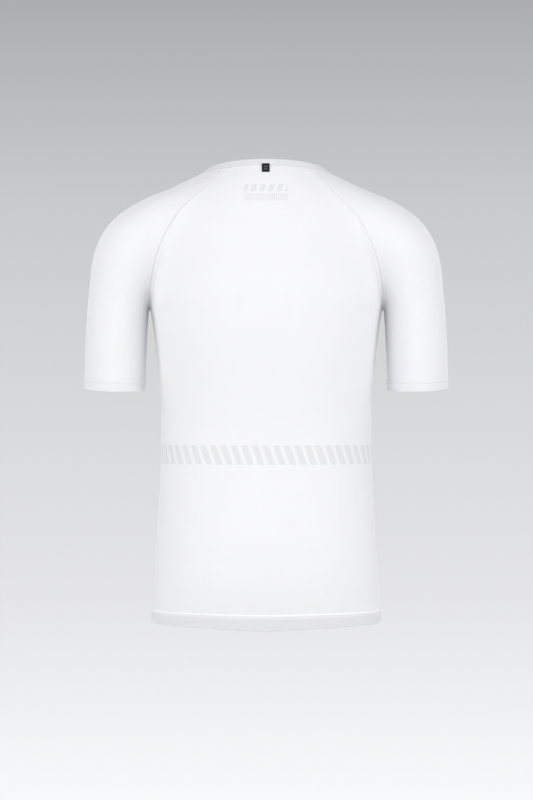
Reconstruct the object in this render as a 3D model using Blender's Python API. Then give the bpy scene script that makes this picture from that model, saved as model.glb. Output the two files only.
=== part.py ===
"""Short-sleeved raglan base layer top, filled out as if worn, with no wearer.

Each cut piece is one closed solid: a thin cloth wall whose inner side is its outer side moved in by the
cloth's thickness. All sizes are in millimetres, with +Z up and the wearer's front towards -Y, and the meshes
are made in metres. The origin lies midway between the shoulders, at the height of the neckline's sides.
"""

import math
from collections import namedtuple

import bpy
import numpy as np

METRES = 0.001

# Driving sizes
WALL = 1.5
SEAM_GAP = 0.3
HEM_SEAM_HEIGHT = -642.8
HEM_DEPTH = 23.7
HEM_SEAM_RISE = 1.9
HEM_EDGE_RISE = 6.2
CUFF_DEPTH = 14.0
NECK_SIDE_HEIGHT = -10.0
NECK_BACK_RISE = 6.1
NECK_FRONT_DROP = 72.0
NECK_FRONT_ROUNDNESS = 1.6
NECK_HALF_WIDTH = 85.0
NECK_HALF_DEPTH = 62.0
NECK_CENTRE_Y = -1.0
NECKBAND_HEIGHT = 10.3
NECKBAND_LIFT = 0.2
BACK_SEAM_TURN = 38.5
FRONT_SEAM_TURN = 125.0

# Rows and columns of faces
BODY_COLUMNS = 22
SLEEVE_COLUMNS = 22
RAGLAN_ROWS = 14
BODY_LOWER_ROWS = 12
SLEEVE_LOWER_ROWS = 5
BODY_ROW_SPACING = 1.2
SLEEVE_ROW_SPACING = 1.15
SEAM_NEARNESS = 4
NECK_NEARNESS = 3
HEM_NEARNESS = 3
ARM_SAMPLES = 72

# How far inside the form the searches for its surface start
BODY_CORE = 60.0
SIDE_CORE = 120.0
NECK_CORE = 30.0
SLEEVE_CORE = 14.0

# The body's level sections: half width, furthest front and back, squareness, reach of the blend to the arm
Section = namedtuple("Section", "height half_width front back squareness blend")
TORSO = (
    Section(40, 74, -40, 46, 2.0, 24),
    Section(12, 75, -42, 50, 2.0, 24),
    Section(0, 77.5, -44, 56, 2.0, 24),
    Section(-10, 82, -46, 62, 2.0, 26),
    Section(-22, 94, -49, 69, 2.05, 30),
    Section(-40, 114, -54, 77, 2.1, 40),
    Section(-60, 130, -61, 84, 2.15, 50),
    Section(-82, 143, -71, 90, 2.25, 58),
    Section(-110, 152, -85, 96, 2.35, 60),
    Section(-145, 160, -98.5, 103, 2.45, 52),
    Section(-172, 165.3, -106, 107, 2.5, 36),
    Section(-188, 167.6, -109.2, 108, 2.55, 23),
    Section(-203, 168.4, -111.3, 108.3, 2.55, 9),
    Section(-213, 166.8, -112.3, 108, 2.5, 4),
    Section(-235, 163.6, -113.2, 107, 2.45, 2),
    Section(-281, 158, -112, 102, 2.4, 1),
    Section(-339, 153.2, -106.5, 93, 2.35, 1),
    Section(-383, 152.3, -101, 88, 2.35, 1),
    Section(-426, 153, -101, 88.5, 2.35, 1),
    Section(-470, 154.6, -102, 93, 2.35, 1),
    Section(-513, 157.3, -103, 99, 2.35, 1),
    Section(-557, 159.6, -104, 103, 2.35, 1),
    Section(-600, 161.8, -103, 101, 2.35, 1),
    Section(-629, 163.9, -101.5, 95, 2.35, 1),
    Section(-652, 166, -100, 88.5, 2.35, 1),
    Section(-680, 167.8, -98, 81.5, 2.35, 1),
)

# The arm's centre line from the neck to below the cuff: its half thickness, and its depth as a multiple of that
Arm = namedtuple("Arm", "x y z radius depth")
ARM = (
    Arm(56, 4, -29, 20, 1.3),
    Arm(77, 6, -37.3, 28, 1.25),
    Arm(98, 9, -52.2, 34, 1.22),
    Arm(122, 12, -70.2, 40, 1.18),
    Arm(146.5, 14, -86, 45.5, 1.16),
    Arm(167.5, 15, -100, 48.6, 1.15),
    Arm(185.3, 15, -115.5, 50.6, 1.15),
    Arm(197.2, 14.5, -133, 50, 1.15),
    Arm(205.1, 13.5, -155, 47.6, 1.16),
    Arm(210.6, 12, -182, 44.8, 1.18),
    Arm(214.5, 9, -213, 44.1, 1.2),
    Arm(217.5, 5, -264, 44.3, 1.2),
    Arm(219.4, 1, -312, 43.9, 1.2),
    Arm(221.7, -4, -372, 43.5, 1.2),
)

# The raglan seams and the sleeve's rows between them, from the armpit up to the neckband
Knot = namedtuple("Knot", "x y z")
BACK_SEAM = (
    Knot(168.6, 28, -195),
    Knot(167.2, 40, -182),
    Knot(164, 50, -165),
    Knot(158, 62, -140),
    Knot(146.5, 70, -109),
    Knot(125.2, 66.5, -70.9),
    Knot(95.2, 57.6, -41.4),
)
FRONT_SEAM = (
    Knot(170, -11, -195),
    Knot(170, -22, -182),
    Knot(166.5, -31, -166),
    Knot(157, -43, -143),
    Knot(142, -54, -118),
    Knot(123, -58, -94),
    Knot(99, -54, -70),
)
SLEEVE_CREST = (
    Knot(259.5, 8, -206),
    Knot(258, 11, -188),
    Knot(256.5, 12.5, -168),
    Knot(254, 14, -145),
    Knot(246, 15, -113),
    Knot(226, 15, -80),
    Knot(188, 15, -53.5),
    Knot(141, 14, -33),
)
SLEEVE_CENTRE = (
    Knot(214.8, 8, -206),
    Knot(213.5, 10, -189),
    Knot(211, 11, -171),
    Knot(206.5, 12.5, -151),
    Knot(197, 14, -128),
    Knot(180, 14, -109),
    Knot(152, 13, -89),
    Knot(112, 8, -64),
    Knot(64, 2, -36),
)
ARMPIT_PLACE = Knot(169.25, 8, -225)
ARMPIT_REACH = 45.0

# The cuff's plane: its centre at the seam, how far its outer side rises and its back falls, in degrees
CUFF_CENTRE = Knot(219.3, 1, -309.3)
CUFF_OUTER_RISE = 2.0
CUFF_BACK_FALL = 4.5

# Soft troughs pressed into the body, each from one end to the other on the side that it names
Trough = namedtuple("Trough", "side x0 z0 x1 z1 reach depth")
TROUGHS = (
    Trough(1, 28, -150, 55, -243, 11, 1.9),
    Trough(1, -24, -142, -53, -244, 12, 2.1),
    Trough(1, 96, -548, 30, -590, 12, 0.9),
    Trough(1, -104, -540, -40, -588, 12, 0.8),
    Trough(-1, 118, -150, 58, -214, 12, 1.8),
    Trough(-1, -114, -156, -52, -217, 13, 1.6),
    Trough(-1, 24, -300, 47, -372, 13, 1.1),
    Trough(-1, -27, -312, -44, -390, 12, 1.2),
    Trough(-1, 88, -560, 26, -598, 12, 0.9),
)

# Wall sections of the bands: distance from the seam towards the free edge, and height above the panels' face
Profile = namedtuple("Profile", "along out")
HEM_PROFILE = (
    Profile(0, 0.4),
    Profile(0.8, 1.0),
    Profile(2.6, 1.0),
    Profile(3.6, 0.4),
    Profile(22.9, 0.4),
    Profile(HEM_DEPTH, -0.2),
    Profile(HEM_DEPTH, -1.3),
    Profile(0, -1.9),
)
CUFF_PROFILE = (
    Profile(0, 0.4),
    Profile(0.7, 0.9),
    Profile(2.2, 0.9),
    Profile(3.0, 0.4),
    Profile(13.4, 0.4),
    Profile(CUFF_DEPTH, -0.2),
    Profile(CUFF_DEPTH, -1.2),
    Profile(0, -1.8),
)
NECK_PROFILE = (
    Profile(0, 0.4),
    Profile(1.2, 0.9),
    Profile(9.3, 0.9),
    Profile(NECKBAND_HEIGHT, 0.2),
    Profile(NECKBAND_HEIGHT, -1.1),
    Profile(0, -1.8),
)

# The label: its centre, half width and thickness, and how its inner side steps down from band to panel
LABEL_CENTRE_X = 0.8
LABEL_HALF_WIDTH = 5.4
LABEL_THICKNESS = 0.8
LABEL_COLUMNS = 4
LABEL_TURN = 8.0
LABEL_STEPS = (
    Profile(1.4, 1.3),
    Profile(0.0, 1.3),
    Profile(-1.2, 1.15),
    Profile(-3.2, 0.5),
    Profile(-7.9, 0.4),
    Profile(-12.6, 0.4),
)


def unit(vectors):
    """The same directions, one unit long."""
    return vectors / np.linalg.norm(vectors, axis=-1, keepdims=True)


def smooth(knots, values, where):
    """A smooth curve through the values at the knots, read at the places asked for."""
    knots, values = np.asarray(knots, float), np.asarray(values, float)
    if knots[0] > knots[-1]:
        knots, values = knots[::-1], values[::-1]
    where = np.asarray(where, float)
    gaps = np.diff(knots)
    column = (-1,) + (1,) * (values.ndim - 1)
    rises = np.diff(values, axis=0) / gaps.reshape(column)
    before, after = gaps[:-1].reshape(column), gaps[1:].reshape(column)
    slopes = np.empty_like(values)
    slopes[1:-1] = (rises[:-1] * after + rises[1:] * before) / (before + after)
    slopes[0], slopes[-1] = rises[0], rises[-1]
    span = np.clip(np.searchsorted(knots, where) - 1, 0, len(knots) - 2)
    shape = where.shape + (1,) * (values.ndim - 1)
    gap = gaps[span].reshape(shape)
    part = np.clip((where - knots[span]) / gaps[span], 0, 1).reshape(shape)
    rest = 1 - part
    return (
        values[span] * (1 + 2 * part) * rest**2
        + values[span + 1] * (1 + 2 * rest) * part**2
        + gap * part * rest * (slopes[span] * rest - slopes[span + 1] * part)
    )


SECTION_HEIGHTS = np.arange(TORSO[-1].height, TORSO[0].height + 1.0)
SECTION_VALUES = smooth([row.height for row in TORSO], [row[1:] for row in TORSO], SECTION_HEIGHTS)
ARM_LINE = smooth(range(len(ARM)), ARM, np.linspace(0, len(ARM) - 1, ARM_SAMPLES))


def torso_field(points):
    """How far each point lies outside the body alone, and the reach of the blend there."""
    values = (np.interp(points[:, 2], SECTION_HEIGHTS, column) for column in SECTION_VALUES.T)
    half_width, front, back, squareness, blend = values
    across = np.abs(points[:, 0])
    deep = np.abs(points[:, 1] - (front + back) / 2)
    share = (across / half_width) ** squareness + (deep / ((back - front) / 2)) ** squareness
    share = np.maximum(share ** (1 / squareness), 1e-6)
    out = np.hypot(across, deep)
    return out - out / share, blend


def arm_field(points):
    """How far each point lies outside the nearer arm alone."""
    nearer = points * (1, 1, 1)
    nearer[:, 0] = np.abs(nearer[:, 0])
    apart = nearer[:, None, :] - ARM_LINE[None, :, :3]
    apart[:, :, 1] /= ARM_LINE[None, :, 4]
    reach = np.sqrt((apart**2).sum(axis=2)) - ARM_LINE[None, :, 3]
    best = np.clip(reach.argmin(axis=1), 1, len(ARM_LINE) - 2)
    row = np.arange(len(points))
    low, middle, high = reach[row, best - 1], reach[row, best], reach[row, best + 1]
    bend = np.maximum(low - 2 * middle + high, 1e-9)
    return middle - np.minimum((high - low) ** 2 / (8 * bend), 5)


def form(points):
    """How far each point lies outside the garment's form: body and arms, blended where they meet."""
    body, blend = torso_field(points)
    arm = arm_field(points)
    near = np.clip(1 - np.abs(body - arm) / blend, 0, 1)
    return np.minimum(body, arm) - near**3 * blend / 6


def slope(field, points, step=0.4):
    """The outward direction of a field at each point."""
    flat = points.reshape(-1, 3)
    parts = []
    for axis in range(3):
        shift = np.zeros(3)
        shift[axis] = step
        parts.append(field(flat + shift) - field(flat - shift))
    return unit(np.stack(parts, axis=1)).reshape(points.shape)


def cast(starts, directions, first, towards_inside=False, step=2.0, steps=45, halvings=14):
    """Where each ray crosses the form's surface, on its way out or in, looked for from a first distance."""
    starts, directions = np.broadcast_arrays(starts, directions)
    near = np.array(np.broadcast_to(first, len(starts)), float)
    far = near.copy()
    found = np.zeros(len(starts), bool)
    for _ in range(steps):
        far = np.where(found, far, far + step)
        crossed = (form(starts + directions * far[:, None]) > 0) != towards_inside
        near = np.where(found | crossed, near, far)
        found |= crossed
    for _ in range(halvings):
        middle = (near + far) / 2
        crossed = (form(starts + directions * middle[:, None]) > 0) != towards_inside
        near, far = np.where(crossed, near, middle), np.where(crossed, middle, far)
    return starts + directions * near[:, None]


def settle(points, rounds=12):
    """The points moved straight onto the form's surface."""
    for _ in range(rounds):
        points = points - slope(form, points) * form(points)[:, None] * 0.8
    return points


def cast_level(turns, heights, face):
    """The body's surface at angles from the middle of its back (face 1) or front (face -1)."""
    directions = np.stack([np.sin(turns), face * np.cos(turns), np.zeros_like(turns)], axis=1)
    starts = np.zeros_like(directions)
    starts[:, 2] = heights
    inner = BODY_CORE - torso_field(starts + directions * BODY_CORE)[0]
    return cast(starts, directions, np.maximum(inner - 3, 10))


def troughs(points, outward):
    """The points pressed in along the soft troughs."""
    depth = np.zeros(points.shape[:-1])
    for row in TROUGHS:
        run = np.array([row.x1 - row.x0, row.z1 - row.z0], float)
        length = np.linalg.norm(run)
        run /= length
        gap = points[..., [0, 2]] - (row.x0, row.z0)
        along = gap @ run
        aside = gap @ np.array([-run[1], run[0]])
        ends = np.clip(along / length, 0, 1)
        swell = np.sin(np.pi * ends) ** 1.5 * np.exp(-((aside / row.reach) ** 2))
        depth += np.where(points[..., 1] * row.side > 0, row.depth * swell, 0)
    return points - outward * depth[..., None]


def neck_seam(turns):
    """Points of the neckband's seam, at angles in degrees from the middle of the back."""
    turns = np.radians(turns)
    cosines = np.cos(turns)
    scoop = np.maximum(-cosines, 0) ** NECK_FRONT_ROUNDNESS
    heights = NECK_SIDE_HEIGHT + NECK_BACK_RISE * np.maximum(cosines, 0) ** 2 - NECK_FRONT_DROP * scoop
    spread = [NECK_HALF_WIDTH * np.sin(turns), NECK_HALF_DEPTH * cosines, np.zeros(len(turns))]
    starts = np.column_stack([np.zeros(len(turns)), np.full(len(turns), NECK_CENTRE_Y), heights])
    return cast(starts, unit(np.stack(spread, axis=1)), NECK_CORE)


def neck_edge(seam):
    """Points of the neckband's free edge: on from the panels, lifted a little towards upright."""
    outward = slope(form, seam)
    way = unit((0, 0, 1) - outward * outward[:, 2:3])
    return seam + unit(way + (0, 0, NECKBAND_LIFT)) * NECKBAND_HEIGHT


def armpit():
    """The lowest point where the body and the wearer's left sleeve meet, straight above a point between them."""
    return cast(np.array([ARMPIT_PLACE], float), np.array([[0.0, 0.0, 1.0]]), 0, towards_inside=True)[0]


def raglan_levels(line):
    """A smooth curve through the points of a line, read at each raglan row."""
    return smooth(range(len(line)), line, np.linspace(0, len(line) - 1, RAGLAN_ROWS + 1))


def raglan_seam(face):
    """Points of the wearer's left raglan seam on the back (face 1) or the front (face -1), armpit first."""
    knots, turn = (BACK_SEAM, BACK_SEAM_TURN) if face > 0 else (FRONT_SEAM, FRONT_SEAM_TURN)
    line = raglan_levels(np.vstack([armpit(), knots, neck_seam([turn])]))
    line[1:-1] = settle(line[1:-1])
    return line


def body_panel(face):
    """The outer points of the back or front panel, hem first, from the wearer's left to right."""
    across = np.linspace(0, 1, BODY_COLUMNS + 1)
    seam = raglan_seam(face)
    armpit_height = seam[0, 2]
    rows = []
    for j in range(BODY_LOWER_ROWS, 0, -1):
        fall = (j / BODY_LOWER_ROWS) ** BODY_ROW_SPACING
        height = armpit_height + (HEM_SEAM_HEIGHT - armpit_height) * fall
        rise = HEM_SEAM_RISE * fall**HEM_NEARNESS
        start = np.array([[0, seam[0, 1] * (1 - fall), height + rise]])
        side = cast(start, np.array([[1.0, 0, 0]]), SIDE_CORE)[0]
        turns = math.atan2(side[0], face * side[1]) * (1 - 2 * across)
        row = cast_level(turns, height + rise * np.sin(turns) ** 2, face)
        row[0] = side
        row[-1] = side * (-1, 1, 1)
        rows.append(row)
    if face > 0:
        ring = neck_seam(BACK_SEAM_TURN * (1 - 2 * across))
    else:
        ring = neck_seam(FRONT_SEAM_TURN + (360 - 2 * FRONT_SEAM_TURN) * across)
    ring_turns = np.arctan2(ring[:, 0], face * ring[:, 1])
    seam_turns = np.arctan2(seam[:, 0], face * seam[:, 1])
    nearness = np.abs(1 - 2 * across) ** SEAM_NEARNESS
    for j in range(RAGLAN_ROWS + 1):
        part = j / RAGLAN_ROWS
        middle = armpit_height + (ring[BODY_COLUMNS // 2, 2] - armpit_height) * part
        heights = middle + (seam[j, 2] - middle) * nearness
        top = ring[BODY_COLUMNS // 2, 2] + (seam[-1, 2] - ring[BODY_COLUMNS // 2, 2]) * nearness
        heights += (ring[:, 2] - top) * part**NECK_NEARNESS
        angles = seam_turns[j] * (1 - 2 * across)
        angles += (ring_turns - seam_turns[-1] * (1 - 2 * across)) * part**NECK_NEARNESS
        row = cast_level(angles, heights, face) if j < RAGLAN_ROWS else ring
        row[0] = seam[j]
        row[-1] = seam[j] * (-1, 1, 1)
        rows.append(row)
    return np.array(rows)


def sleeve_panel():
    """The outer points of the wearer's left sleeve, cuff first, from the front seam round to the back one."""
    across = np.linspace(0, 1, SLEEVE_COLUMNS + 1)
    back, front = raglan_seam(1), raglan_seam(-1)
    ring = neck_seam(FRONT_SEAM_TURN + (BACK_SEAM_TURN - FRONT_SEAM_TURN) * across)
    crest = settle(raglan_levels(np.vstack([SLEEVE_CREST, ring[SLEEVE_COLUMNS // 2]])))
    centre = raglan_levels(SLEEVE_CENTRE)
    rows = []
    for j in range(RAGLAN_ROWS + 1):
        chord = back[j] - front[j] if j else np.array([0.0, 1.0, 0.0])
        plane = unit(np.cross(chord, crest[j] - (back[j] + front[j]) / 2))
        middle = centre[j] - plane * ((centre[j] - crest[j]) @ plane)
        out = unit(crest[j] - middle)
        rear = np.cross(plane, out)
        rear *= np.sign(rear[1])
        ends = [((end - middle) @ rear, (end - middle) @ out) for end in (front[j], back[j])]
        reach = [-(-math.atan2(*ends[0]) % math.tau), math.atan2(*ends[1]) % math.tau]
        if not j:
            reach = [-math.pi, math.pi]
        angles = np.where(across < 0.5, -reach[0] * (2 * across - 1), reach[1] * (2 * across - 1))
        directions = np.cos(angles)[:, None] * out + np.sin(angles)[:, None] * rear
        row = cast(middle, directions, SLEEVE_CORE) if j < RAGLAN_ROWS else ring
        row[0], row[-1] = front[j], back[j]
        rows.append(row)
        if not j:
            first_middle, first_out, first_rear = middle, out, rear
    cuff_out, cuff_rear = cuff_axes()
    lower = []
    for j in range(SLEEVE_LOWER_ROWS, 0, -1):
        part = (j / SLEEVE_LOWER_ROWS) ** SLEEVE_ROW_SPACING
        middle = first_middle + (np.array(CUFF_CENTRE) - first_middle) * part
        out = unit(first_out + (cuff_out - first_out) * part)
        rear = unit(first_rear + (cuff_rear - first_rear) * part)
        lower.append(sleeve_ring(middle, out, rear, across))
    return np.array(lower + rows)


def cuff_axes():
    """The outward and rearward directions in the cuff's plane."""
    rise, fall = math.radians(CUFF_OUTER_RISE), math.radians(CUFF_BACK_FALL)
    return np.array([math.cos(rise), 0, math.sin(rise)]), np.array([0, math.cos(fall), -math.sin(fall)])


def sleeve_ring(middle, out, rear, across):
    """A closed ring of the sleeve round a middle point, starting and ending under the arm."""
    angles = math.pi * (2 * across - 1)
    directions = np.cos(angles)[:, None] * out + np.sin(angles)[:, None] * rear
    row = cast(middle, unit(directions), SLEEVE_CORE)
    row[-1] = row[0]
    return row


def inward(points, own_field):
    """The outward direction, and the way to the cloth's inner side, mitred towards the armpit."""
    shared = slope(form, points)
    own = slope(own_field, points)
    nearer = points * (1, 1, 1)
    nearer[..., 0] = np.abs(nearer[..., 0])
    gap = np.linalg.norm(nearer - armpit(), axis=-1)
    near = np.clip(2 - 2 * gap / ARMPIT_REACH, 0, 1)[..., None]
    own = unit(shared + (own - shared) * near)
    return shared, -(shared + own) / (1 + (shared * own).sum(axis=-1, keepdims=True))


def drawn_back(points, edge, inside):
    """How one edge of a grid moves to leave half the seam gap: edge and inside index it and its neighbours."""
    run = unit(np.gradient(points[edge], axis=0))
    back = points[inside] - points[edge]
    return unit(back - run * (back * run).sum(axis=-1, keepdims=True)) * SEAM_GAP / 2


def walls(outer, own_field, closed_rows=0):
    """The outer and inner points of a panel, with its edges drawn back. Its first rows may be closed rings."""
    outward, inner_way = inward(outer, own_field)
    outer = troughs(outer, outward)
    every, open_rows = slice(None), slice(closed_rows, None)
    shift = np.zeros_like(outer)
    for edge, inside in (
        ((0, every), (1, every)),
        ((-1, every), (-2, every)),
        ((open_rows, 0), (open_rows, 1)),
        ((open_rows, -1), (open_rows, -2)),
    ):
        shift[edge] += drawn_back(outer, edge, inside)
    if closed_rows:
        below = unit(outer[closed_rows - 1, 0] - outer[closed_rows, 0])
        shift[closed_rows, [0, -1]] = below * SEAM_GAP / 2
    inner = outer + inner_way * WALL
    return outer + shift, inner + shift


def material(name, colour, roughness):
    """A plain cloth material."""
    made = bpy.data.materials.new(name)
    made.use_nodes = True
    shader = made.node_tree.nodes["Principled BSDF"]
    shader.inputs["Base Color"].default_value = (*colour, 1)
    shader.inputs["Roughness"].default_value = roughness
    return made


def add_object(name, points, faces, finish):
    """A closed mesh object from points in millimetres, with its faces turned outwards."""
    corners = points[np.array(faces)]
    if np.einsum("ij,ij->", corners[:, 0], np.cross(corners[:, 1], corners[:, 2])) < 0:
        faces = [face[::-1] for face in faces]
    mesh = bpy.data.meshes.new(name)
    mesh.from_pydata([tuple(point * METRES) for point in points], [], faces)
    mesh.materials.append(finish)
    mesh.shade_smooth()
    mesh.update()
    obj = bpy.data.objects.new(name, mesh)
    bpy.context.scene.collection.objects.link(obj)
    return obj


def add_shell(name, outer, inner, finish, closed_rows=0, mirrored=False):
    """A closed wall between two grids. Rows under closed_rows are rings, whose last point is their first."""
    rows, columns = outer.shape[:2]
    index = np.arange(rows * columns).reshape(rows, columns)
    index[:closed_rows, -1] = index[:closed_rows, 0]
    points = np.concatenate([outer.reshape(-1, 3), inner.reshape(-1, 3)])
    if mirrored:
        points = points * (-1, 1, 1)
    lift = rows * columns
    quads = []
    for r in range(rows - 1):
        for c in range(columns - 1):
            quads.append((index[r, c], index[r, c + 1], index[r + 1, c + 1], index[r + 1, c]))
    edges = {(quad[k], quad[(k + 1) % 4]) for quad in quads for k in range(4)}
    borders = [(a, b) for a, b in edges if (b, a) not in edges]
    faces = []
    for quad in quads:
        a, b, c, d = (int(corner) for corner in quad)
        faces += [(a, b, c), (a, c, d), (c + lift, b + lift, a + lift), (d + lift, c + lift, a + lift)]
    for a, b in sorted((int(a), int(b)) for a, b in borders):
        faces += [(b, a, a + lift), (b, a + lift, b + lift)]
    used = sorted({corner for face in faces for corner in face})
    place = {corner: k for k, corner in enumerate(used)}
    return add_object(name, points[used], [tuple(place[c] for c in face) for face in faces], finish)


def add_band(name, seam, edge, profile, finish, mirrored=False):
    """A closed ring of one wall section, carried round the seam. The section runs towards the free edge."""
    along = (edge - seam) / max(row.along for row in profile)
    run = unit(np.roll(seam, -1, axis=0) - np.roll(seam, 1, axis=0))
    panel_out = slope(form, seam)
    out = unit(np.cross(run, along))
    out *= np.sign((out * panel_out).sum(axis=1, keepdims=True))
    start = unit(np.cross(run, panel_out))
    start *= np.sign((start * along).sum(axis=1, keepdims=True))
    rings = []
    for row in profile:
        if row.along == 0:
            rings.append(seam + start * SEAM_GAP / 2 + panel_out * row.out)
        else:
            rings.append(seam + along * row.along + out * row.out)
    rings = np.array(rings)
    rows, columns = rings.shape[:2]
    points = rings.reshape(-1, 3)
    if mirrored:
        points = points * (-1, 1, 1)
    faces = []
    for r in range(rows):
        for c in range(columns):
            below, right = (r + 1) % rows, (c + 1) % columns
            a, b = r * columns + c, r * columns + right
            d, e = below * columns + c, below * columns + right
            faces += [(a, b, e), (a, e, d)]
    return add_object(name, points, faces, finish)


def add_label(seam, edge, finish):
    """The small tab over the neckband's seam at the middle of the back."""
    spread = LABEL_CENTRE_X + np.linspace(LABEL_HALF_WIDTH, -LABEL_HALF_WIDTH, LABEL_COLUMNS + 1)
    inner, outer = [], []
    for step in LABEL_STEPS:
        if step.along >= 0:
            row = seam + unit(edge - seam) * step.along
            way = slope(form, seam)
        else:
            row = seam + slope_down(seam) * -step.along
            row = settle(row)
            way = slope(form, row)
        order = np.argsort(row[:, 0])
        row = np.stack([np.interp(spread, row[order, 0], row[order, k]) for k in range(3)], axis=1)
        way = unit(np.stack([np.interp(spread, seam[order, 0], way[order, k]) for k in range(3)], axis=1))
        inner.append(row + way * step.out)
        outer.append(row + way * (step.out + LABEL_THICKNESS))
    return add_shell("neck_label", np.array(outer), np.array(inner), finish)


def slope_down(points):
    """The steepest way down along the form's surface."""
    outward = slope(form, points)
    return unit(outward * outward[:, 2:3] - (0, 0, 1))


def cuff_ring(drop):
    """A ring of the left sleeve, in the cuff's plane or moved down from it towards the free edge."""
    out, rear = cuff_axes()
    middle = CUFF_CENTRE + np.cross(rear, out) * drop
    return sleeve_ring(middle, out, rear, np.linspace(0, 1, SLEEVE_COLUMNS + 1))[:-1]


def clear_scene():
    """Remove whatever the scene holds."""
    for obj in list(bpy.data.objects):
        bpy.data.objects.remove(obj)


def main():
    clear_scene()
    knit = material("White fine knit", (0.86, 0.86, 0.87), 0.75)
    band = material("White band knit", (0.82, 0.82, 0.83), 0.8)
    black = material("Black woven label", (0.02, 0.02, 0.02), 0.6)

    back, front = body_panel(1), body_panel(-1)
    sleeve = sleeve_panel()
    torso_alone = lambda points: torso_field(points)[0]
    add_shell("back", *walls(back, torso_alone), knit)
    add_shell("front", *walls(front, torso_alone), knit)
    for name, mirrored in (("sleeve_left", False), ("sleeve_right", True)):
        outer, inner = walls(sleeve, arm_field, closed_rows=SLEEVE_LOWER_ROWS)
        add_shell(name, outer, inner, knit, closed_rows=SLEEVE_LOWER_ROWS + 1, mirrored=mirrored)

    quarter = np.linspace(BACK_SEAM_TURN, FRONT_SEAM_TURN, SLEEVE_COLUMNS + 1)[:-1]
    turns = np.concatenate([
        np.linspace(-BACK_SEAM_TURN, BACK_SEAM_TURN, BODY_COLUMNS + 1)[:-1],
        quarter,
        np.linspace(FRONT_SEAM_TURN, 360 - FRONT_SEAM_TURN, BODY_COLUMNS + 1)[:-1],
        360 - quarter[::-1] - (quarter[1] - quarter[0]),
    ])
    neckline = neck_seam(turns)
    add_band("neckband", neckline, neck_edge(neckline), NECK_PROFILE, band)

    hem_seam = np.concatenate([back[0, :-1], front[0, ::-1][:-1]])
    hem_turns = np.arctan2(hem_seam[:, 0], hem_seam[:, 1])
    hem_heights = HEM_SEAM_HEIGHT - HEM_DEPTH + HEM_EDGE_RISE * np.sin(hem_turns) ** 2
    hem_edge = cast_level(hem_turns, hem_heights, 1)
    add_band("hem_band", hem_seam, hem_edge, HEM_PROFILE, band)

    for name, mirrored in (("cuff_left", False), ("cuff_right", True)):
        add_band(name, cuff_ring(0), cuff_ring(CUFF_DEPTH), CUFF_PROFILE, band, mirrored=mirrored)

    label_seam = neck_seam(np.linspace(-LABEL_TURN, LABEL_TURN, 17))
    add_label(label_seam, neck_edge(label_seam), black)


if __name__ == "__main__":
    main()
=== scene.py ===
"""Looks of a short-sleeved raglan base layer top, filled out as if worn, with no wearer.

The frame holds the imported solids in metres, with +Z up and the wearer's front towards -Y. Each cloth piece
here is a thin knitted shell on the form of its solid, so the form's sizes are repeated below, in millimetres.
"""

import logging
import math
from dataclasses import dataclass, replace
from enum import Enum
from typing import Any, Callable, NamedTuple, Sequence

import bpy
import numpy as np
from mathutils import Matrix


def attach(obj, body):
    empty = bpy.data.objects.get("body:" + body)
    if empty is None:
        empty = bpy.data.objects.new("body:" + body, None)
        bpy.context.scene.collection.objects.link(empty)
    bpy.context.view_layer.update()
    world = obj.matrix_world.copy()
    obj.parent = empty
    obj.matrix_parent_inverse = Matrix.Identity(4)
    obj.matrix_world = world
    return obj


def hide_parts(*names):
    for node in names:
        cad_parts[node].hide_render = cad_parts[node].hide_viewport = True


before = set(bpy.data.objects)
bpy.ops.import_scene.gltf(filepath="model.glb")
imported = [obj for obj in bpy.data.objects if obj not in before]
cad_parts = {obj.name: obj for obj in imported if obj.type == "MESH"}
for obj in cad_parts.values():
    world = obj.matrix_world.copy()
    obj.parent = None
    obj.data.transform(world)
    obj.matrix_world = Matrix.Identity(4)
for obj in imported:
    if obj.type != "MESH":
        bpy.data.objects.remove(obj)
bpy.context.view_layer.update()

LOG = logging.getLogger("base_layer_top")
METRES = 0.001
BODY = "root"
CLOTH_MAP = "cloth"
OUTWARD = "outward"
Field = Callable[[np.ndarray], np.ndarray]
Line = tuple[np.ndarray, np.ndarray]
Tree = bpy.types.NodeTree
Socket = bpy.types.NodeSocket

# Driving sizes, as in the solids
SEAM_GAP = 0.3
HEM_SEAM_HEIGHT = -642.8
HEM_DEPTH = 23.7
HEM_SEAM_RISE = 1.9
HEM_EDGE_RISE = 6.2
CUFF_DEPTH = 14.0
NECKBAND_HEIGHT = 10.3
BACK_SEAM_TURN = 38.5
FRONT_SEAM_TURN = 125.0

# The finer shells: their cloth, their faces, and the close rows beside each seam
CLOTH = 0.9
BODY_COLUMNS = 104
SLEEVE_COLUMNS = 96
RAGLAN_ROWS = 70
BODY_LOWER_ROWS = 84
SLEEVE_LOWER_ROWS = 36
SEAM_STEPS = (0.7, 1.4, 2.1, 2.8, 3.6, 4.6, 6.0)
SEAM_STEPS_SHARE = 8
SHARP_EDGE = math.radians(52)

# How fast the panels' rows turn from level to the raglan seam, the neckline and the hem
SEAM_NEARNESS = 4
NECK_NEARNESS = 3
HEM_NEARNESS = 3

# How far the worn knit is stretched past its cut, across and along
STRETCH_ACROSS = 1.1
STRETCH_ALONG = 1.03


class Face(Enum):
    """The two faces of the body."""

    BACK = 1
    FRONT = -1


class Side(Enum):
    """The wearer's two sides."""

    LEFT = 1
    RIGHT = -1


class Slot(Enum):
    """The record's material slots."""

    KNIT = "body_knit"
    BAND = "band_knit"
    LABEL = "woven_label"


class Section(NamedTuple):
    """A level section of the body, with the reach of its blend to the arm."""

    height: float
    half_width: float
    front: float
    back: float
    squareness: float
    blend: float


class ArmKnot(NamedTuple):
    """A point of the arm's centre line, with its half thickness and its depth as a multiple of that."""

    x: float
    y: float
    z: float
    radius: float
    depth: float


class Knot(NamedTuple):
    """A point that a line passes through."""

    x: float
    y: float
    z: float


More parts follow.
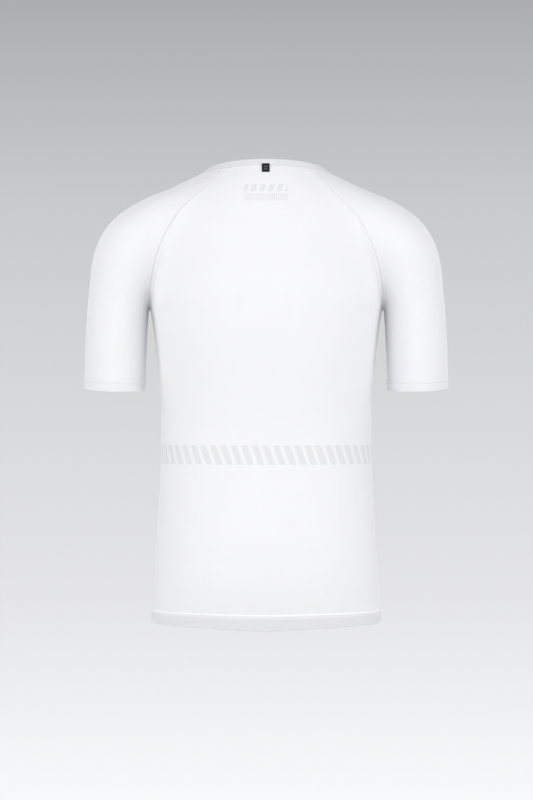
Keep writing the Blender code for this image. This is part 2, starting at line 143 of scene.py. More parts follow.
class Trough(NamedTuple):
    """A soft trough pressed into one face of the body, from one end to the other."""

    face: Face
    x0: float
    z0: float
    x1: float
    z1: float
    reach: float
    depth: float


class Profile(NamedTuple):
    """A point of a band's wall: its distance from the seam and its height above the panels' face."""

    along: float
    out: float


TORSO = (
    Section(40, 74, -40, 46, 2.0, 24),
    Section(12, 75, -42, 50, 2.0, 24),
    Section(0, 77.5, -44, 56, 2.0, 24),
    Section(-10, 82, -46, 62, 2.0, 26),
    Section(-22, 94, -49, 69, 2.05, 30),
    Section(-40, 114, -54, 77, 2.1, 40),
    Section(-60, 130, -61, 84, 2.15, 50),
    Section(-82, 143, -71, 90, 2.25, 58),
    Section(-110, 152, -85, 96, 2.35, 60),
    Section(-145, 160, -98.5, 103, 2.45, 52),
    Section(-172, 165.3, -106, 107, 2.5, 36),
    Section(-188, 167.6, -109.2, 108, 2.55, 23),
    Section(-203, 168.4, -111.3, 108.3, 2.55, 9),
    Section(-213, 166.8, -112.3, 108, 2.5, 4),
    Section(-235, 163.6, -113.2, 107, 2.45, 2),
    Section(-281, 158, -112, 102, 2.4, 1),
    Section(-339, 153.2, -106.5, 93, 2.35, 1),
    Section(-383, 152.3, -101, 88, 2.35, 1),
    Section(-426, 153, -101, 88.5, 2.35, 1),
    Section(-470, 154.6, -102, 93, 2.35, 1),
    Section(-513, 157.3, -103, 99, 2.35, 1),
    Section(-557, 159.6, -104, 103, 2.35, 1),
    Section(-600, 161.8, -103, 101, 2.35, 1),
    Section(-629, 163.9, -101.5, 95, 2.35, 1),
    Section(-652, 166, -100, 88.5, 2.35, 1),
    Section(-680, 167.8, -98, 81.5, 2.35, 1),
)

ARM = (
    ArmKnot(56, 4, -29, 20, 1.3),
    ArmKnot(77, 6, -37.3, 28, 1.25),
    ArmKnot(98, 9, -52.2, 34, 1.22),
    ArmKnot(122, 12, -70.2, 40, 1.18),
    ArmKnot(146.5, 14, -86, 45.5, 1.16),
    ArmKnot(167.5, 15, -100, 48.6, 1.15),
    ArmKnot(185.3, 15, -115.5, 50.6, 1.15),
    ArmKnot(197.2, 14.5, -133, 50, 1.15),
    ArmKnot(205.1, 13.5, -155, 47.6, 1.16),
    ArmKnot(210.6, 12, -182, 44.8, 1.18),
    ArmKnot(214.5, 9, -213, 44.1, 1.2),
    ArmKnot(217.5, 5, -264, 44.3, 1.2),
    ArmKnot(219.4, 1, -312, 43.9, 1.2),
    ArmKnot(221.7, -4, -372, 43.5, 1.2),
)

BACK_SEAM = (
    Knot(168.6, 28, -195),
    Knot(167.2, 40, -182),
    Knot(164, 50, -165),
    Knot(158, 62, -140),
    Knot(146.5, 70, -109),
    Knot(125.2, 66.5, -70.9),
    Knot(95.2, 57.6, -41.4),
)
FRONT_SEAM = (
    Knot(170, -11, -195),
    Knot(170, -22, -182),
    Knot(166.5, -31, -166),
    Knot(157, -43, -143),
    Knot(142, -54, -118),
    Knot(123, -58, -94),
    Knot(99, -54, -70),
)
SLEEVE_CREST = (
    Knot(259.5, 8, -206),
    Knot(258, 11, -188),
    Knot(256.5, 12.5, -168),
    Knot(254, 14, -145),
    Knot(246, 15, -113),
    Knot(226, 15, -80),
    Knot(188, 15, -53.5),
    Knot(141, 14, -33),
)
SLEEVE_CENTRE = (
    Knot(214.8, 8, -206),
    Knot(213.5, 10, -189),
    Knot(211, 11, -171),
    Knot(206.5, 12.5, -151),
    Knot(197, 14, -128),
    Knot(180, 14, -109),
    Knot(152, 13, -89),
    Knot(112, 8, -64),
    Knot(64, 2, -36),
)
ARMPIT_PLACE = Knot(169.25, 8, -225)
CUFF_CENTRE = Knot(219.3, 1, -309.3)

# The soft troughs of the cloth, as in the solids
TROUGHS = (
    Trough(Face.BACK, 28, -150, 55, -243, 11, 1.9),
    Trough(Face.BACK, -24, -142, -53, -244, 12, 2.1),
    Trough(Face.BACK, 96, -548, 30, -590, 12, 0.9),
    Trough(Face.BACK, -104, -540, -40, -588, 12, 0.8),
    Trough(Face.FRONT, 118, -150, 58, -214, 12, 1.8),
    Trough(Face.FRONT, -114, -156, -52, -217, 13, 1.6),
    Trough(Face.FRONT, 24, -300, 47, -372, 13, 1.1),
    Trough(Face.FRONT, -27, -312, -44, -390, 12, 1.2),
    Trough(Face.FRONT, 88, -560, 26, -598, 12, 0.9),
)

HEM_PROFILE = (
    Profile(0, 0.0),
    Profile(-0.5, 0.3),
    Profile(-0.7, 0.6),
    Profile(-0.3, 0.95),
    Profile(0.6, 1.2),
    Profile(1.5, 1.15),
    Profile(2.2, 0.85),
    Profile(2.9, 0.6),
    Profile(4.2, 0.6),
    Profile(7, 0.7),
    Profile(10, 0.66),
    Profile(14, 0.5),
    Profile(18, 0.34),
    Profile(19.6, 0.28),
    Profile(20.3, 0.16),
    Profile(21.0, 0.26),
    Profile(22.6, 0.22),
    Profile(23.4, 0.0),
    Profile(HEM_DEPTH, -0.4),
    Profile(23.4, -0.85),
    Profile(22.4, -1.1),
    Profile(12, -1.2),
    Profile(0, -1.3),
)
CUFF_PROFILE = (
    Profile(0, 0.0),
    Profile(-0.5, 0.3),
    Profile(-0.6, 0.55),
    Profile(-0.1, 0.85),
    Profile(0.7, 1.0),
    Profile(1.5, 0.92),
    Profile(2.1, 0.6),
    Profile(2.8, 0.35),
    Profile(4.4, 0.3),
    Profile(5.2, 0.52),
    Profile(6.0, 0.3),
    Profile(7.4, 0.3),
    Profile(8.2, 0.52),
    Profile(9.0, 0.3),
    Profile(10.6, 0.34),
    Profile(12.8, 0.36),
    Profile(13.7, 0.1),
    Profile(CUFF_DEPTH, -0.3),
    Profile(13.7, -0.75),
    Profile(12.8, -1.0),
    Profile(0, -1.2),
)
NECK_PROFILE = (
    Profile(0, 0.0),
    Profile(-0.5, 0.35),
    Profile(-0.6, 0.6),
    Profile(-0.1, 0.85),
    Profile(1.0, 0.92),
    Profile(2.2, 0.84),
    Profile(4, 0.82),
    Profile(6.5, 0.84),
    Profile(8.8, 0.85),
    Profile(9.7, 0.65),
    Profile(10.2, 0.2),
    Profile(NECKBAND_HEIGHT, -0.2),
    Profile(10.1, -0.6),
    Profile(9.4, -0.9),
    Profile(6, -1.0),
    Profile(0, -1.2),
)

# The label's inner side, stepping down from the band on to the panel
LABEL_STEPS = (
    Profile(1.4, 1.2),
    Profile(0.7, 1.25),
    Profile(0.0, 1.3),
    Profile(-0.8, 1.2),
    Profile(-1.6, 0.95),
    Profile(-2.6, 0.65),
    Profile(-4.2, 0.5),
    Profile(-7.0, 0.45),
    Profile(-10.0, 0.45),
    Profile(-12.6, 0.5),
)


def unit(vectors: np.ndarray) -> np.ndarray:
    """The same directions, one unit long."""
    return vectors / np.linalg.norm(vectors, axis=-1, keepdims=True)


def on_left(points: np.ndarray) -> np.ndarray:
    """The points, with those on the wearer's right mirrored to the left.

    Args:
        points: points in millimetres.

    Returns:
        As many points, none of them on the wearer's right.
    """
    made = np.array(points, float)
    made[..., 0] = np.abs(made[..., 0])
    return made


def smooth(knots: Sequence[float], values: Any, where: Any) -> np.ndarray:
    """A smooth curve through the values at the knots.

    Args:
        knots: the places of the values, rising or falling.
        values: a value or a row of values for each knot.
        where: the places to read.

    Returns:
        The curve's value at each place.
    """
    places, known = np.asarray(knots, float), np.asarray(values, float)
    if places[0] > places[-1]:
        places, known = places[::-1], known[::-1]
    where = np.asarray(where, float)
    gaps = np.diff(places)
    column = (-1,) + (1,) * (known.ndim - 1)
    rises = np.diff(known, axis=0) / gaps.reshape(column)
    before, after = gaps[:-1].reshape(column), gaps[1:].reshape(column)
    slopes = np.empty_like(known)
    slopes[1:-1] = (rises[:-1] * after + rises[1:] * before) / (before + after)
    slopes[0], slopes[-1] = rises[0], rises[-1]
    span = np.clip(np.searchsorted(places, where) - 1, 0, len(places) - 2)
    shape = where.shape + (1,) * (known.ndim - 1)
    gap = gaps[span].reshape(shape)
    part = np.clip((where - places[span]) / gaps[span], 0, 1).reshape(shape)
    rest = 1 - part
    return (
        known[span] * (1 + 2 * part) * rest**2
        + known[span + 1] * (1 + 2 * rest) * part**2
        + gap * part * rest * (slopes[span] * rest - slopes[span + 1] * part)
    )


def run_of(line: np.ndarray) -> np.ndarray:
    """The length of a line up to each of its points, along its last but one axis.

    Args:
        line: the line's points, or several lines of as many points.

    Returns:
        A length for each point, from 0.
    """
    steps = np.linalg.norm(np.diff(line, axis=-2), axis=-1)
    start = np.zeros(steps.shape[:-1] + (1,))
    return np.concatenate([start, np.cumsum(steps, axis=-1)], axis=-1)


def respaced(row: np.ndarray) -> np.ndarray:
    """A row's points moved along it, so that they lie close together beside the seams at both ends.

    Args:
        row: the row's points, spaced evenly or nearly so.

    Returns:
        As many points on the same line.
    """
    run = run_of(row)
    steps = np.array((0.0,) + SEAM_STEPS)
    steps *= min(1.0, run[-1] / (SEAM_STEPS_SHARE * steps[-1]))
    between = np.linspace(steps[-1], run[-1] - steps[-1], len(row) - 2 * len(SEAM_STEPS))
    places = np.concatenate([steps[:-1], between, (run[-1] - steps[:-1])[::-1]])
    made = smooth(run, row, places)
    made[0], made[-1] = row[0], row[-1]
    return made


@dataclass
class GarmentForm:
    """The filled-out form that every piece lies on: a body and two arms, blended where they meet."""

    torso: tuple[Section, ...] = TORSO
    arm: tuple[ArmKnot, ...] = ARM
    arm_samples: int = 72
    armpit_reach: float = 45.0
    most_bulge: float = 5.0
    probe: float = 60.0
    probe_margin: float = 3.0
    core: float = 10.0

    def __post_init__(self) -> None:
        """Works out the sections at each millimetre of height, and the arm's centre line."""
        self.heights = np.arange(self.torso[-1].height, self.torso[0].height + 1.0)
        levels = [row.height for row in self.torso]
        self.values = smooth(levels, [row[1:] for row in self.torso], self.heights)
        samples = np.linspace(0, len(self.arm) - 1, self.arm_samples)
        self.arm_line = smooth(range(len(self.arm)), self.arm, samples)
        start = np.array([ARMPIT_PLACE], float)
        self.armpit = self.cast(start, np.array([[0.0, 0.0, 1.0]]), 0, towards_inside=True)[0]

    def body_and_blend(self, points: np.ndarray) -> tuple[np.ndarray, np.ndarray]:
        """How far each point lies outside the body alone, and the reach of the blend there.

        Args:
            points: points in millimetres.

        Returns:
            The distances, negative inside, and the reaches.
        """
        values = (np.interp(points[:, 2], self.heights, column) for column in self.values.T)
        half_width, front, back, squareness, blend = values
        across = np.abs(points[:, 0])
        deep = np.abs(points[:, 1] - (front + back) / 2)
        share = (across / half_width) ** squareness + (deep / ((back - front) / 2)) ** squareness
        share = np.maximum(share ** (1 / squareness), 1e-6)
        out = np.hypot(across, deep)
        return out - out / share, blend

    def body_alone(self, points: np.ndarray) -> np.ndarray:
        """How far each point lies outside the body alone."""
        return self.body_and_blend(points)[0]

    def arm_alone(self, points: np.ndarray) -> np.ndarray:
        """How far each point lies outside the nearer arm alone.

        Args:
            points: points in millimetres.

        Returns:
            The distances, negative inside.
        """
        apart = on_left(points)[:, None, :] - self.arm_line[None, :, :3]
        apart[:, :, 1] /= self.arm_line[None, :, 4]
        reach = np.sqrt((apart**2).sum(axis=2)) - self.arm_line[None, :, 3]
        best = np.clip(reach.argmin(axis=1), 1, len(self.arm_line) - 2)
        row = np.arange(len(points))
        low, middle, high = reach[row, best - 1], reach[row, best], reach[row, best + 1]
        bend = np.maximum(low - 2 * middle + high, 1e-9)
        return middle - np.minimum((high - low) ** 2 / (8 * bend), self.most_bulge)

    def whole(self, points: np.ndarray) -> np.ndarray:
        """How far each point lies outside the garment's form.

        Args:
            points: points in millimetres.

        Returns:
            The distances, negative inside.
        """
        body, blend = self.body_and_blend(points)
        arm = self.arm_alone(points)
        near = np.clip(1 - np.abs(body - arm) / blend, 0, 1)
        return np.minimum(body, arm) - near**3 * blend / 6

    def outward(self, points: np.ndarray, part: Field | None = None, step: float = 0.4) -> np.ndarray:
        """The outward direction of the form at each point.

        Args:
            points: points on or near the form.
            part: the part of the form to follow, if not the whole of it.
            step: how far apart the form is read.

        Returns:
            A unit vector for each point.
        """
        read = part or self.whole
        flat = points.reshape(-1, 3)
        rises = []
        for axis in range(3):
            shift = np.zeros(3)
            shift[axis] = step
            rises.append(read(flat + shift) - read(flat - shift))
        return unit(np.stack(rises, axis=1)).reshape(points.shape)

    def cast(
        self,
        starts: np.ndarray,
        directions: np.ndarray,
        first: Any,
        towards_inside: bool = False,
        step: float = 2.0,
        steps: int = 45,
        halvings: int = 14,
    ) -> np.ndarray:
        """Where rays cross the form's surface, on their way out or in.

        Args:
            starts: the points that the rays start from.
            directions: their unit directions.
            first: the distance at which the search starts.
            towards_inside: whether the rays come from outside.
            step: the length of a step of the search.
            steps: the most steps.
            halvings: how many times the last step is halved.

        Returns:
            The point where each ray crosses the surface.
        """
        starts, directions = np.broadcast_arrays(starts, directions)
        near = np.array(np.broadcast_to(first, len(starts)), float)
        far = near.copy()
        found = np.zeros(len(starts), bool)
        for _ in range(steps):
            far = np.where(found, far, far + step)
            crossed = (self.whole(starts + directions * far[:, None]) > 0) != towards_inside
            near = np.where(found | crossed, near, far)
            found |= crossed
            if found.all():
                break
        for _ in range(halvings):
            middle = (near + far) / 2
            crossed = (self.whole(starts + directions * middle[:, None]) > 0) != towards_inside
            near, far = np.where(crossed, near, middle), np.where(crossed, middle, far)
        return starts + directions * near[:, None]

    def settle(self, points: np.ndarray, rounds: int = 12, share: float = 0.8) -> np.ndarray:
        """The points moved straight onto the form's surface, a share of the way in each round.

        Args:
            points: points near the form.
            rounds: how many moves are made.
            share: how much of the way each move goes.

        Returns:
            The moved points.
        """
        for _ in range(rounds):
            points = points - self.outward(points) * self.whole(points)[:, None] * share
        return points

    def cast_level(self, turns: np.ndarray, heights: np.ndarray, face: Face) -> np.ndarray:
        """The body's surface at angles from the middle of one face, at the heights given.

        Args:
            turns: the angles in radians, towards the wearer's left.
            heights: the height of each point.
            face: the face whose middle has angle 0.

        Returns:
            A point for each angle.
        """
        directions = np.stack([np.sin(turns), face.value * np.cos(turns), np.zeros_like(turns)], axis=1)
        starts = np.zeros_like(directions)
        starts[:, 2] = heights
        inner = self.probe - self.body_alone(starts + directions * self.probe)
        return self.cast(starts, directions, np.maximum(inner - self.probe_margin, self.core))

    def way_in(self, points: np.ndarray, part: Field) -> tuple[np.ndarray, np.ndarray]:
        """The outward direction of a panel, and the way to its inner side.

        Args:
            points: a grid of points on the form.
            part: the part of the form that the panel belongs to.

        Returns:
            The outward directions, and the steps inwards for one millimetre of cloth, mitred at the armpit.
        """
        shared, own = self.outward(points), self.outward(points, part)
        gap = np.linalg.norm(on_left(points) - self.armpit, axis=-1)
        near = np.clip(2 - 2 * gap / self.armpit_reach, 0, 1)[..., None]
        own = unit(shared + (own - shared) * near)
        return shared, -(shared + own) / (1 + (shared * own).sum(axis=-1, keepdims=True))


@dataclass
class Neckline:
    """The neckband's seam round the neck, and the band's free edge."""

    form: GarmentForm
    side_height: float = -10.0
    back_rise: float = 6.1
    front_drop: float = 72.0
    front_roundness: float = 1.6
    half_width: float = 85.0
    half_depth: float = 62.0
    centre_y: float = -1.0
    core: float = 30.0
    lift: float = 0.2

    def seam(self, turns: Any) -> np.ndarray:
        """Points of the seam, at angles in degrees from the middle of the back.

        Args:
            turns: the angles, towards the wearer's left.

        Returns:
            A point for each angle.
        """
        turns = np.radians(turns)
        cosines = np.cos(turns)
        scoop = np.maximum(-cosines, 0) ** self.front_roundness
        heights = self.side_height + self.back_rise * np.maximum(cosines, 0) ** 2 - self.front_drop * scoop
        spread = [self.half_width * np.sin(turns), self.half_depth * cosines, np.zeros(len(turns))]
        starts = np.column_stack([np.zeros(len(turns)), np.full(len(turns), self.centre_y), heights])
        return self.form.cast(starts, unit(np.stack(spread, axis=1)), self.core)

    def edge(self, seam: np.ndarray) -> np.ndarray:
        """Points of the free edge: on from the panels, lifted a little towards upright.

        Args:
            seam: points of the seam.

        Returns:
            A point of the edge for each.
        """
        outward = self.form.outward(seam)
        way = unit((0, 0, 1) - outward * outward[:, 2:3])
        return seam + unit(way + (0, 0, self.lift)) * NECKBAND_HEIGHT


@dataclass
class Pattern:
    """The cut lines of the garment, and the grids of points of its panels."""

    form: GarmentForm
    neckline: Neckline
    hem_rows: tuple[float, ...] = (0.7, 1.5, 2.5, 3.8)
    neck_rows: tuple[float, ...] = (0.0095, 0.006, 0.003)
    lower_spacing: float = 1.2
    sleeve_spacing: float = 1.15
    cuff_outer_rise: float = 2.0
    cuff_back_fall: float = 4.5
    side_core: float = 120.0
    sleeve_core: float = 14.0
    fine_step: float = 0.5
    fine_steps: int = 180

    def __post_init__(self) -> None:
        """Sets the raglan rows, closer together beside the neckband, and the two raglan seams."""
        even = np.linspace(0, 1, RAGLAN_ROWS + 1)
        self.levels = np.sort(np.concatenate([even, 1 - np.array(self.neck_rows)]))
        self.seams = {face: self.raglan_seam(face) for face in Face}

    def along(self, line: Any) -> np.ndarray:
        """A smooth curve through the points of a line, read at each raglan row."""
        return smooth(range(len(line)), line, self.levels * (len(line) - 1))

    def raglan_seam(self, face: Face) -> np.ndarray:
        """Points of the wearer's left raglan seam on one face, armpit first.

        Args:
            face: the face that the seam lies on.

        Returns:
            A point for each raglan row.
        """
        back = face is Face.BACK
        knots, turn = (BACK_SEAM, BACK_SEAM_TURN) if back else (FRONT_SEAM, FRONT_SEAM_TURN)
        line = self.along(np.vstack([self.form.armpit, knots, self.neckline.seam([turn])]))
        line[1:-1] = self.form.settle(line[1:-1])
        return line

    def seam_loop(self) -> np.ndarray:
        """The whole left raglan seam, from the back of the neck through the armpit to its front."""
        return np.concatenate([self.seams[Face.BACK][::-1], self.seams[Face.FRONT][1:]])

    def body_lower_rows(self, seam: np.ndarray, across: np.ndarray, face: Face) -> list[np.ndarray]:
        """The level rows from the hem's seam up to the armpit.

        Args:
            seam: the face's raglan seam.
            across: the columns' places, from 0 at the wearer's left to 1.
            face: the face.

        Returns:
            The rows, hem first.
        """
        armpit_height = seam[0, 2]
        drop = HEM_SEAM_HEIGHT - armpit_height
        falls = (np.arange(1, BODY_LOWER_ROWS + 1) / BODY_LOWER_ROWS) ** self.lower_spacing
        falls = np.sort(np.concatenate([falls, 1 + np.array(self.hem_rows) / drop]))[::-1]
        rows = []
        for fall in falls:
            height = armpit_height + drop * fall
            rise = HEM_SEAM_RISE * fall**HEM_NEARNESS
            start = np.array([[0, seam[0, 1] * (1 - fall), height + rise]])
            side = self.form.cast(start, np.array([[1.0, 0, 0]]), self.side_core)[0]
            turns = math.atan2(side[0], face.value * side[1]) * (1 - 2 * across)
            row = self.form.cast_level(turns, height + rise * np.sin(turns) ** 2, face)
            row[0], row[-1] = side, side * (-1, 1, 1)
            rows.append(respaced(row))
        return rows

    def body_panel(self, face: Face) -> np.ndarray:
        """The outer points of the back or front panel, hem first, from the wearer's left to right.

        Args:
            face: the panel's face.

        Returns:
            The grid of points.
        """
        across = np.linspace(0, 1, BODY_COLUMNS + 1)
        seam = self.seams[face]
        rows = self.body_lower_rows(seam, across, face)
        if face is Face.BACK:
            ring = self.neckline.seam(BACK_SEAM_TURN * (1 - 2 * across))
        else:
            ring = self.neckline.seam(FRONT_SEAM_TURN + (360 - 2 * FRONT_SEAM_TURN) * across)
        middle_height = ring[BODY_COLUMNS // 2, 2]
        ring_turns = np.arctan2(ring[:, 0], face.value * ring[:, 1])
        seam_turns = np.arctan2(seam[:, 0], face.value * seam[:, 1])
        nearness = np.abs(1 - 2 * across) ** SEAM_NEARNESS
        top = middle_height + (seam[-1, 2] - middle_height) * nearness
        for level, end, turn in zip(self.levels, seam, seam_turns):
            middle = seam[0, 2] + (middle_height - seam[0, 2]) * level
            near_neck = level**NECK_NEARNESS
            heights = middle + (end[2] - middle) * nearness + (ring[:, 2] - top) * near_neck
            angles = turn * (1 - 2 * across)
            angles += (ring_turns - seam_turns[-1] * (1 - 2 * across)) * near_neck
            row = self.form.cast_level(angles, heights, face) if level < 1 else ring
            row[0], row[-1] = end, end * (-1, 1, 1)
            rows.append(respaced(row))
        return np.array(rows)

    def cuff_axes(self) -> tuple[np.ndarray, np.ndarray]:
        """The outward and rearward directions in the cuff's plane."""
        rise, fall = math.radians(self.cuff_outer_rise), math.radians(self.cuff_back_fall)
        return np.array([math.cos(rise), 0, math.sin(rise)]), np.array([0, math.cos(fall), -math.sin(fall)])

    def sleeve_ring(self, middle: np.ndarray, out: np.ndarray, rear: np.ndarray) -> np.ndarray:
        """A closed ring of the sleeve round a middle point, starting and ending under the arm.

        Args:
            middle: the middle point.
            out: the direction away from the body.
            rear: the direction to the back.

        Returns:
            The ring's points, the first repeated at its end.
        """
        angles = math.pi * (2 * np.linspace(0, 1, SLEEVE_COLUMNS + 1) - 1)
        directions = np.cos(angles)[:, None] * out + np.sin(angles)[:, None] * rear
        row = self.form.cast(middle, unit(directions), self.sleeve_core)
        row[-1] = row[0]
        return respaced(row)

    def cuff_ring(self, drop: float) -> np.ndarray:
        """A ring of the left sleeve in the cuff's plane, or moved down from it towards the free edge."""
        out, rear = self.cuff_axes()
        return self.sleeve_ring(CUFF_CENTRE + np.cross(rear, out) * drop, out, rear)[:-1]

    def sleeve_panel(self) -> tuple[np.ndarray, int]:
        """The outer points of the wearer's left sleeve.

        Returns:
            The grid, cuff first and from the front seam round to the back one, and how many of its rows are
            closed rings.
        """
        across = np.linspace(0, 1, SLEEVE_COLUMNS + 1)
        back, front = self.seams[Face.BACK], self.seams[Face.FRONT]
        ring = self.neckline.seam(FRONT_SEAM_TURN + (BACK_SEAM_TURN - FRONT_SEAM_TURN) * across)
        crest = self.form.settle(self.along(np.vstack([SLEEVE_CREST, ring[SLEEVE_COLUMNS // 2]])))
        centre = self.along(SLEEVE_CENTRE)
        rows, lowest = [], None
        for j, level in enumerate(self.levels):
            chord = back[j] - front[j] if j else np.array([0.0, 1.0, 0.0])
            plane = unit(np.cross(chord, crest[j] - (back[j] + front[j]) / 2))
            middle = centre[j] - plane * ((centre[j] - crest[j]) @ plane)
            out = unit(crest[j] - middle)
            rear = np.cross(plane, out)
            rear *= np.sign(rear[1])
            turns = [math.atan2((end - middle) @ rear, (end - middle) @ out) for end in (front[j], back[j])]
            reach = [-(-turns[0] % math.tau), turns[1] % math.tau]
            if lowest is None:
                reach, lowest = [-math.pi, math.pi], (middle, out, rear)
            angles = np.where(across < 0.5, -reach[0] * (2 * across - 1), reach[1] * (2 * across - 1))
            directions = np.cos(angles)[:, None] * out + np.sin(angles)[:, None] * rear
            # Short steps, because the gap under the arm is narrow just above the armpit
            fine = {"step": self.fine_step, "steps": self.fine_steps}
            row = self.form.cast(middle, directions, self.sleeve_core, **fine) if level < 1 else ring
            row[0], row[-1] = front[j], back[j]
            rows.append(respaced(row))
        cuff_out, cuff_rear = self.cuff_axes()
        length = np.linalg.norm(np.array(CUFF_CENTRE) - lowest[0])
        parts = (np.arange(1, SLEEVE_LOWER_ROWS + 1) / SLEEVE_LOWER_ROWS) ** self.sleeve_spacing
        parts = np.sort(np.concatenate([parts, 1 - np.array(self.hem_rows) / length]))[::-1]
        lower = []
        for part in parts:
            middle = lowest[0] + (np.array(CUFF_CENTRE) - lowest[0]) * part
            out = unit(lowest[1] + (cuff_out - lowest[1]) * part)
            rear = unit(lowest[2] + (cuff_rear - lowest[2]) * part)
            lower.append(self.sleeve_ring(middle, out, rear))
        return np.array(lower + rows), len(lower)


@dataclass
class SeamRelief:
    """What the soft troughs and the flatlock seams do to the cloth's outer face."""

    pattern: Pattern
    ridge_place: float = 2.7
    ridge_width: float = 0.95
    ridge_height: float = 0.42
    valley_width: float = 0.75
    valley_depth: float = 0.22
    sleeve_share: float = 0.25
    armpit_clear: float = 14.0
    armpit_full: float = 40.0
    trough_taper: float = 1.5

    def troughs(self, points: np.ndarray) -> np.ndarray:
        """How deep the soft troughs are at each point.

        Args:
            points: points in millimetres.

        Returns:
            The depths.
        """
        depth = np.zeros(points.shape[:-1])
        for row in TROUGHS:
            run = np.array([row.x1 - row.x0, row.z1 - row.z0], float)
            length = np.linalg.norm(run)
            run /= length
            gap = points[..., [0, 2]] - (row.x0, row.z0)
            aside = gap @ np.array([-run[1], run[0]])
            ends = np.clip(gap @ run / length, 0, 1)
            swell = np.sin(np.pi * ends) ** self.trough_taper * np.exp(-((aside / row.reach) ** 2))
            depth += np.where(points[..., 1] * row.face.value > 0, row.depth * swell, 0)
        return depth

    @staticmethod
    def distance(points: np.ndarray, line: np.ndarray) -> np.ndarray:
        """How far each point lies from a line of short straight pieces.

        Args:
            points: points in millimetres.
            line: the line's points.

        Returns:
            The distances.
        """
        flat = points.reshape(-1, 3)
        nearest = np.full(len(flat), np.inf)
        for start, end in zip(line[:-1], line[1:]):
            run = end - start
            part = np.clip((flat - start) @ run / max(run @ run, 1e-9), 0, 1)
            gap = flat - start - part[:, None] * run
            nearest = np.minimum(nearest, np.einsum("ij,ij->i", gap, gap))
        return np.sqrt(nearest).reshape(points.shape[:-1])

    def strength(self, points: np.ndarray) -> np.ndarray:
        """How much of the seam's relief there is at each point: none in the armpit.

        Args:
            points: points in millimetres.

        Returns:
            A share from 0 to 1 for each.
        """
        gap = np.linalg.norm(on_left(points) - self.pattern.form.armpit, axis=-1)
        part = np.clip((gap - self.armpit_clear) / (self.armpit_full - self.armpit_clear), 0, 1)
        return part**2 * (3 - 2 * part)

    def ridge(self, on_sleeve: bool) -> float:
        """The flatlock ridge's height on one side of the seam."""
        return self.ridge_height * (self.sleeve_share if on_sleeve else 1.0)

    def height(self, points: np.ndarray, on_sleeve: bool) -> np.ndarray:
        """How far the cloth stands above the form at each point: troughs, flatlock ridges and seam valleys.

        Args:
            points: points on the form.
            on_sleeve: whether they lie on a sleeve, whose side of the seam is the flatter one.

        Returns:
            The height at each point, in millimetres.
        """
        away = self.distance(on_left(points), self.pattern.seam_loop())
        ridge = self.ridge(on_sleeve) * np.exp(-(((away - self.ridge_place) / self.ridge_width) ** 2))
        valley = self.valley_depth * np.exp(-((away / self.valley_width) ** 2))
        return (ridge - valley) * self.strength(points) - self.troughs(points)

    def offset_line(self, line: np.ndarray, aside: float, lift: float) -> tuple[np.ndarray, np.ndarray]:
        """A line beside another on the form.

        Args:
            line: the line to follow.
            aside: how far to its side, either way.
            lift: how far above the form.

        Returns:
            The points and their outward directions.
        """
        form = self.pattern.form
        run = unit(np.gradient(line, axis=0))
        points = form.settle(line + unit(np.cross(form.outward(line), run)) * aside, rounds=6)
        outward = form.outward(points)
        return points + outward * (lift - self.troughs(points))[:, None], outward


def quads_of(index: np.ndarray) -> np.ndarray:
    """The four corners of each cell of a grid, in turn."""
    corners = [index[:-1, :-1], index[:-1, 1:], index[1:, 1:], index[1:, :-1]]
    return np.stack(corners, axis=2).reshape(-1, 4, *index.shape[2:])


@dataclass
class Cloth:
    """A closed thin shell between an outer and an inner grid, with a map of the cloth in metres."""

    name: str
    outer: np.ndarray
    inner: np.ndarray
    flat_map: np.ndarray
    closed_rows: int = 0

    def mesh(self, mirrored: bool = False) -> bpy.types.Mesh:
        """The shell's mesh, in metres.

        Args:
            mirrored: whether it is the piece on the wearer's right.

        Returns:
            A new mesh with its faces turned outwards.
        """
        rows, width = self.flat_map.shape[:2]
        index = np.arange(rows * width).reshape(rows, width)
        index[: self.closed_rows, -1] = index[: self.closed_rows, 0]
        lift = rows * width
        quads, maps = quads_of(index), quads_of(self.flat_map)
        starts, ends = quads.ravel(), np.roll(quads, -1, axis=1).ravel()
        at_start, at_end = maps.reshape(-1, 2), np.roll(maps, -1, axis=1).reshape(-1, 2)
        border = ~np.isin(starts * lift + ends, ends * lift + starts)
        a, b = starts[border], ends[border]
        rims = np.stack([b, a, a + lift, b + lift], axis=1)
        on_a, on_b = at_start[border], at_end[border]
        rim_maps = np.stack([on_b, on_a, on_a, on_b], axis=1)
        faces = np.concatenate([quads, quads[:, ::-1] + lift, rims])
        face_maps = np.concatenate([maps, maps[:, ::-1], rim_maps])
        points = np.concatenate([self.outer.reshape(-1, 3), self.inner.reshape(-1, 3)])
        if mirrored:
            points = points * (-1, 1, 1)
        used, faces = np.unique(faces, return_inverse=True)
        points, faces = points[used], faces.reshape(-1, 4)
        return cloth_mesh(self.name, points, faces, face_maps)


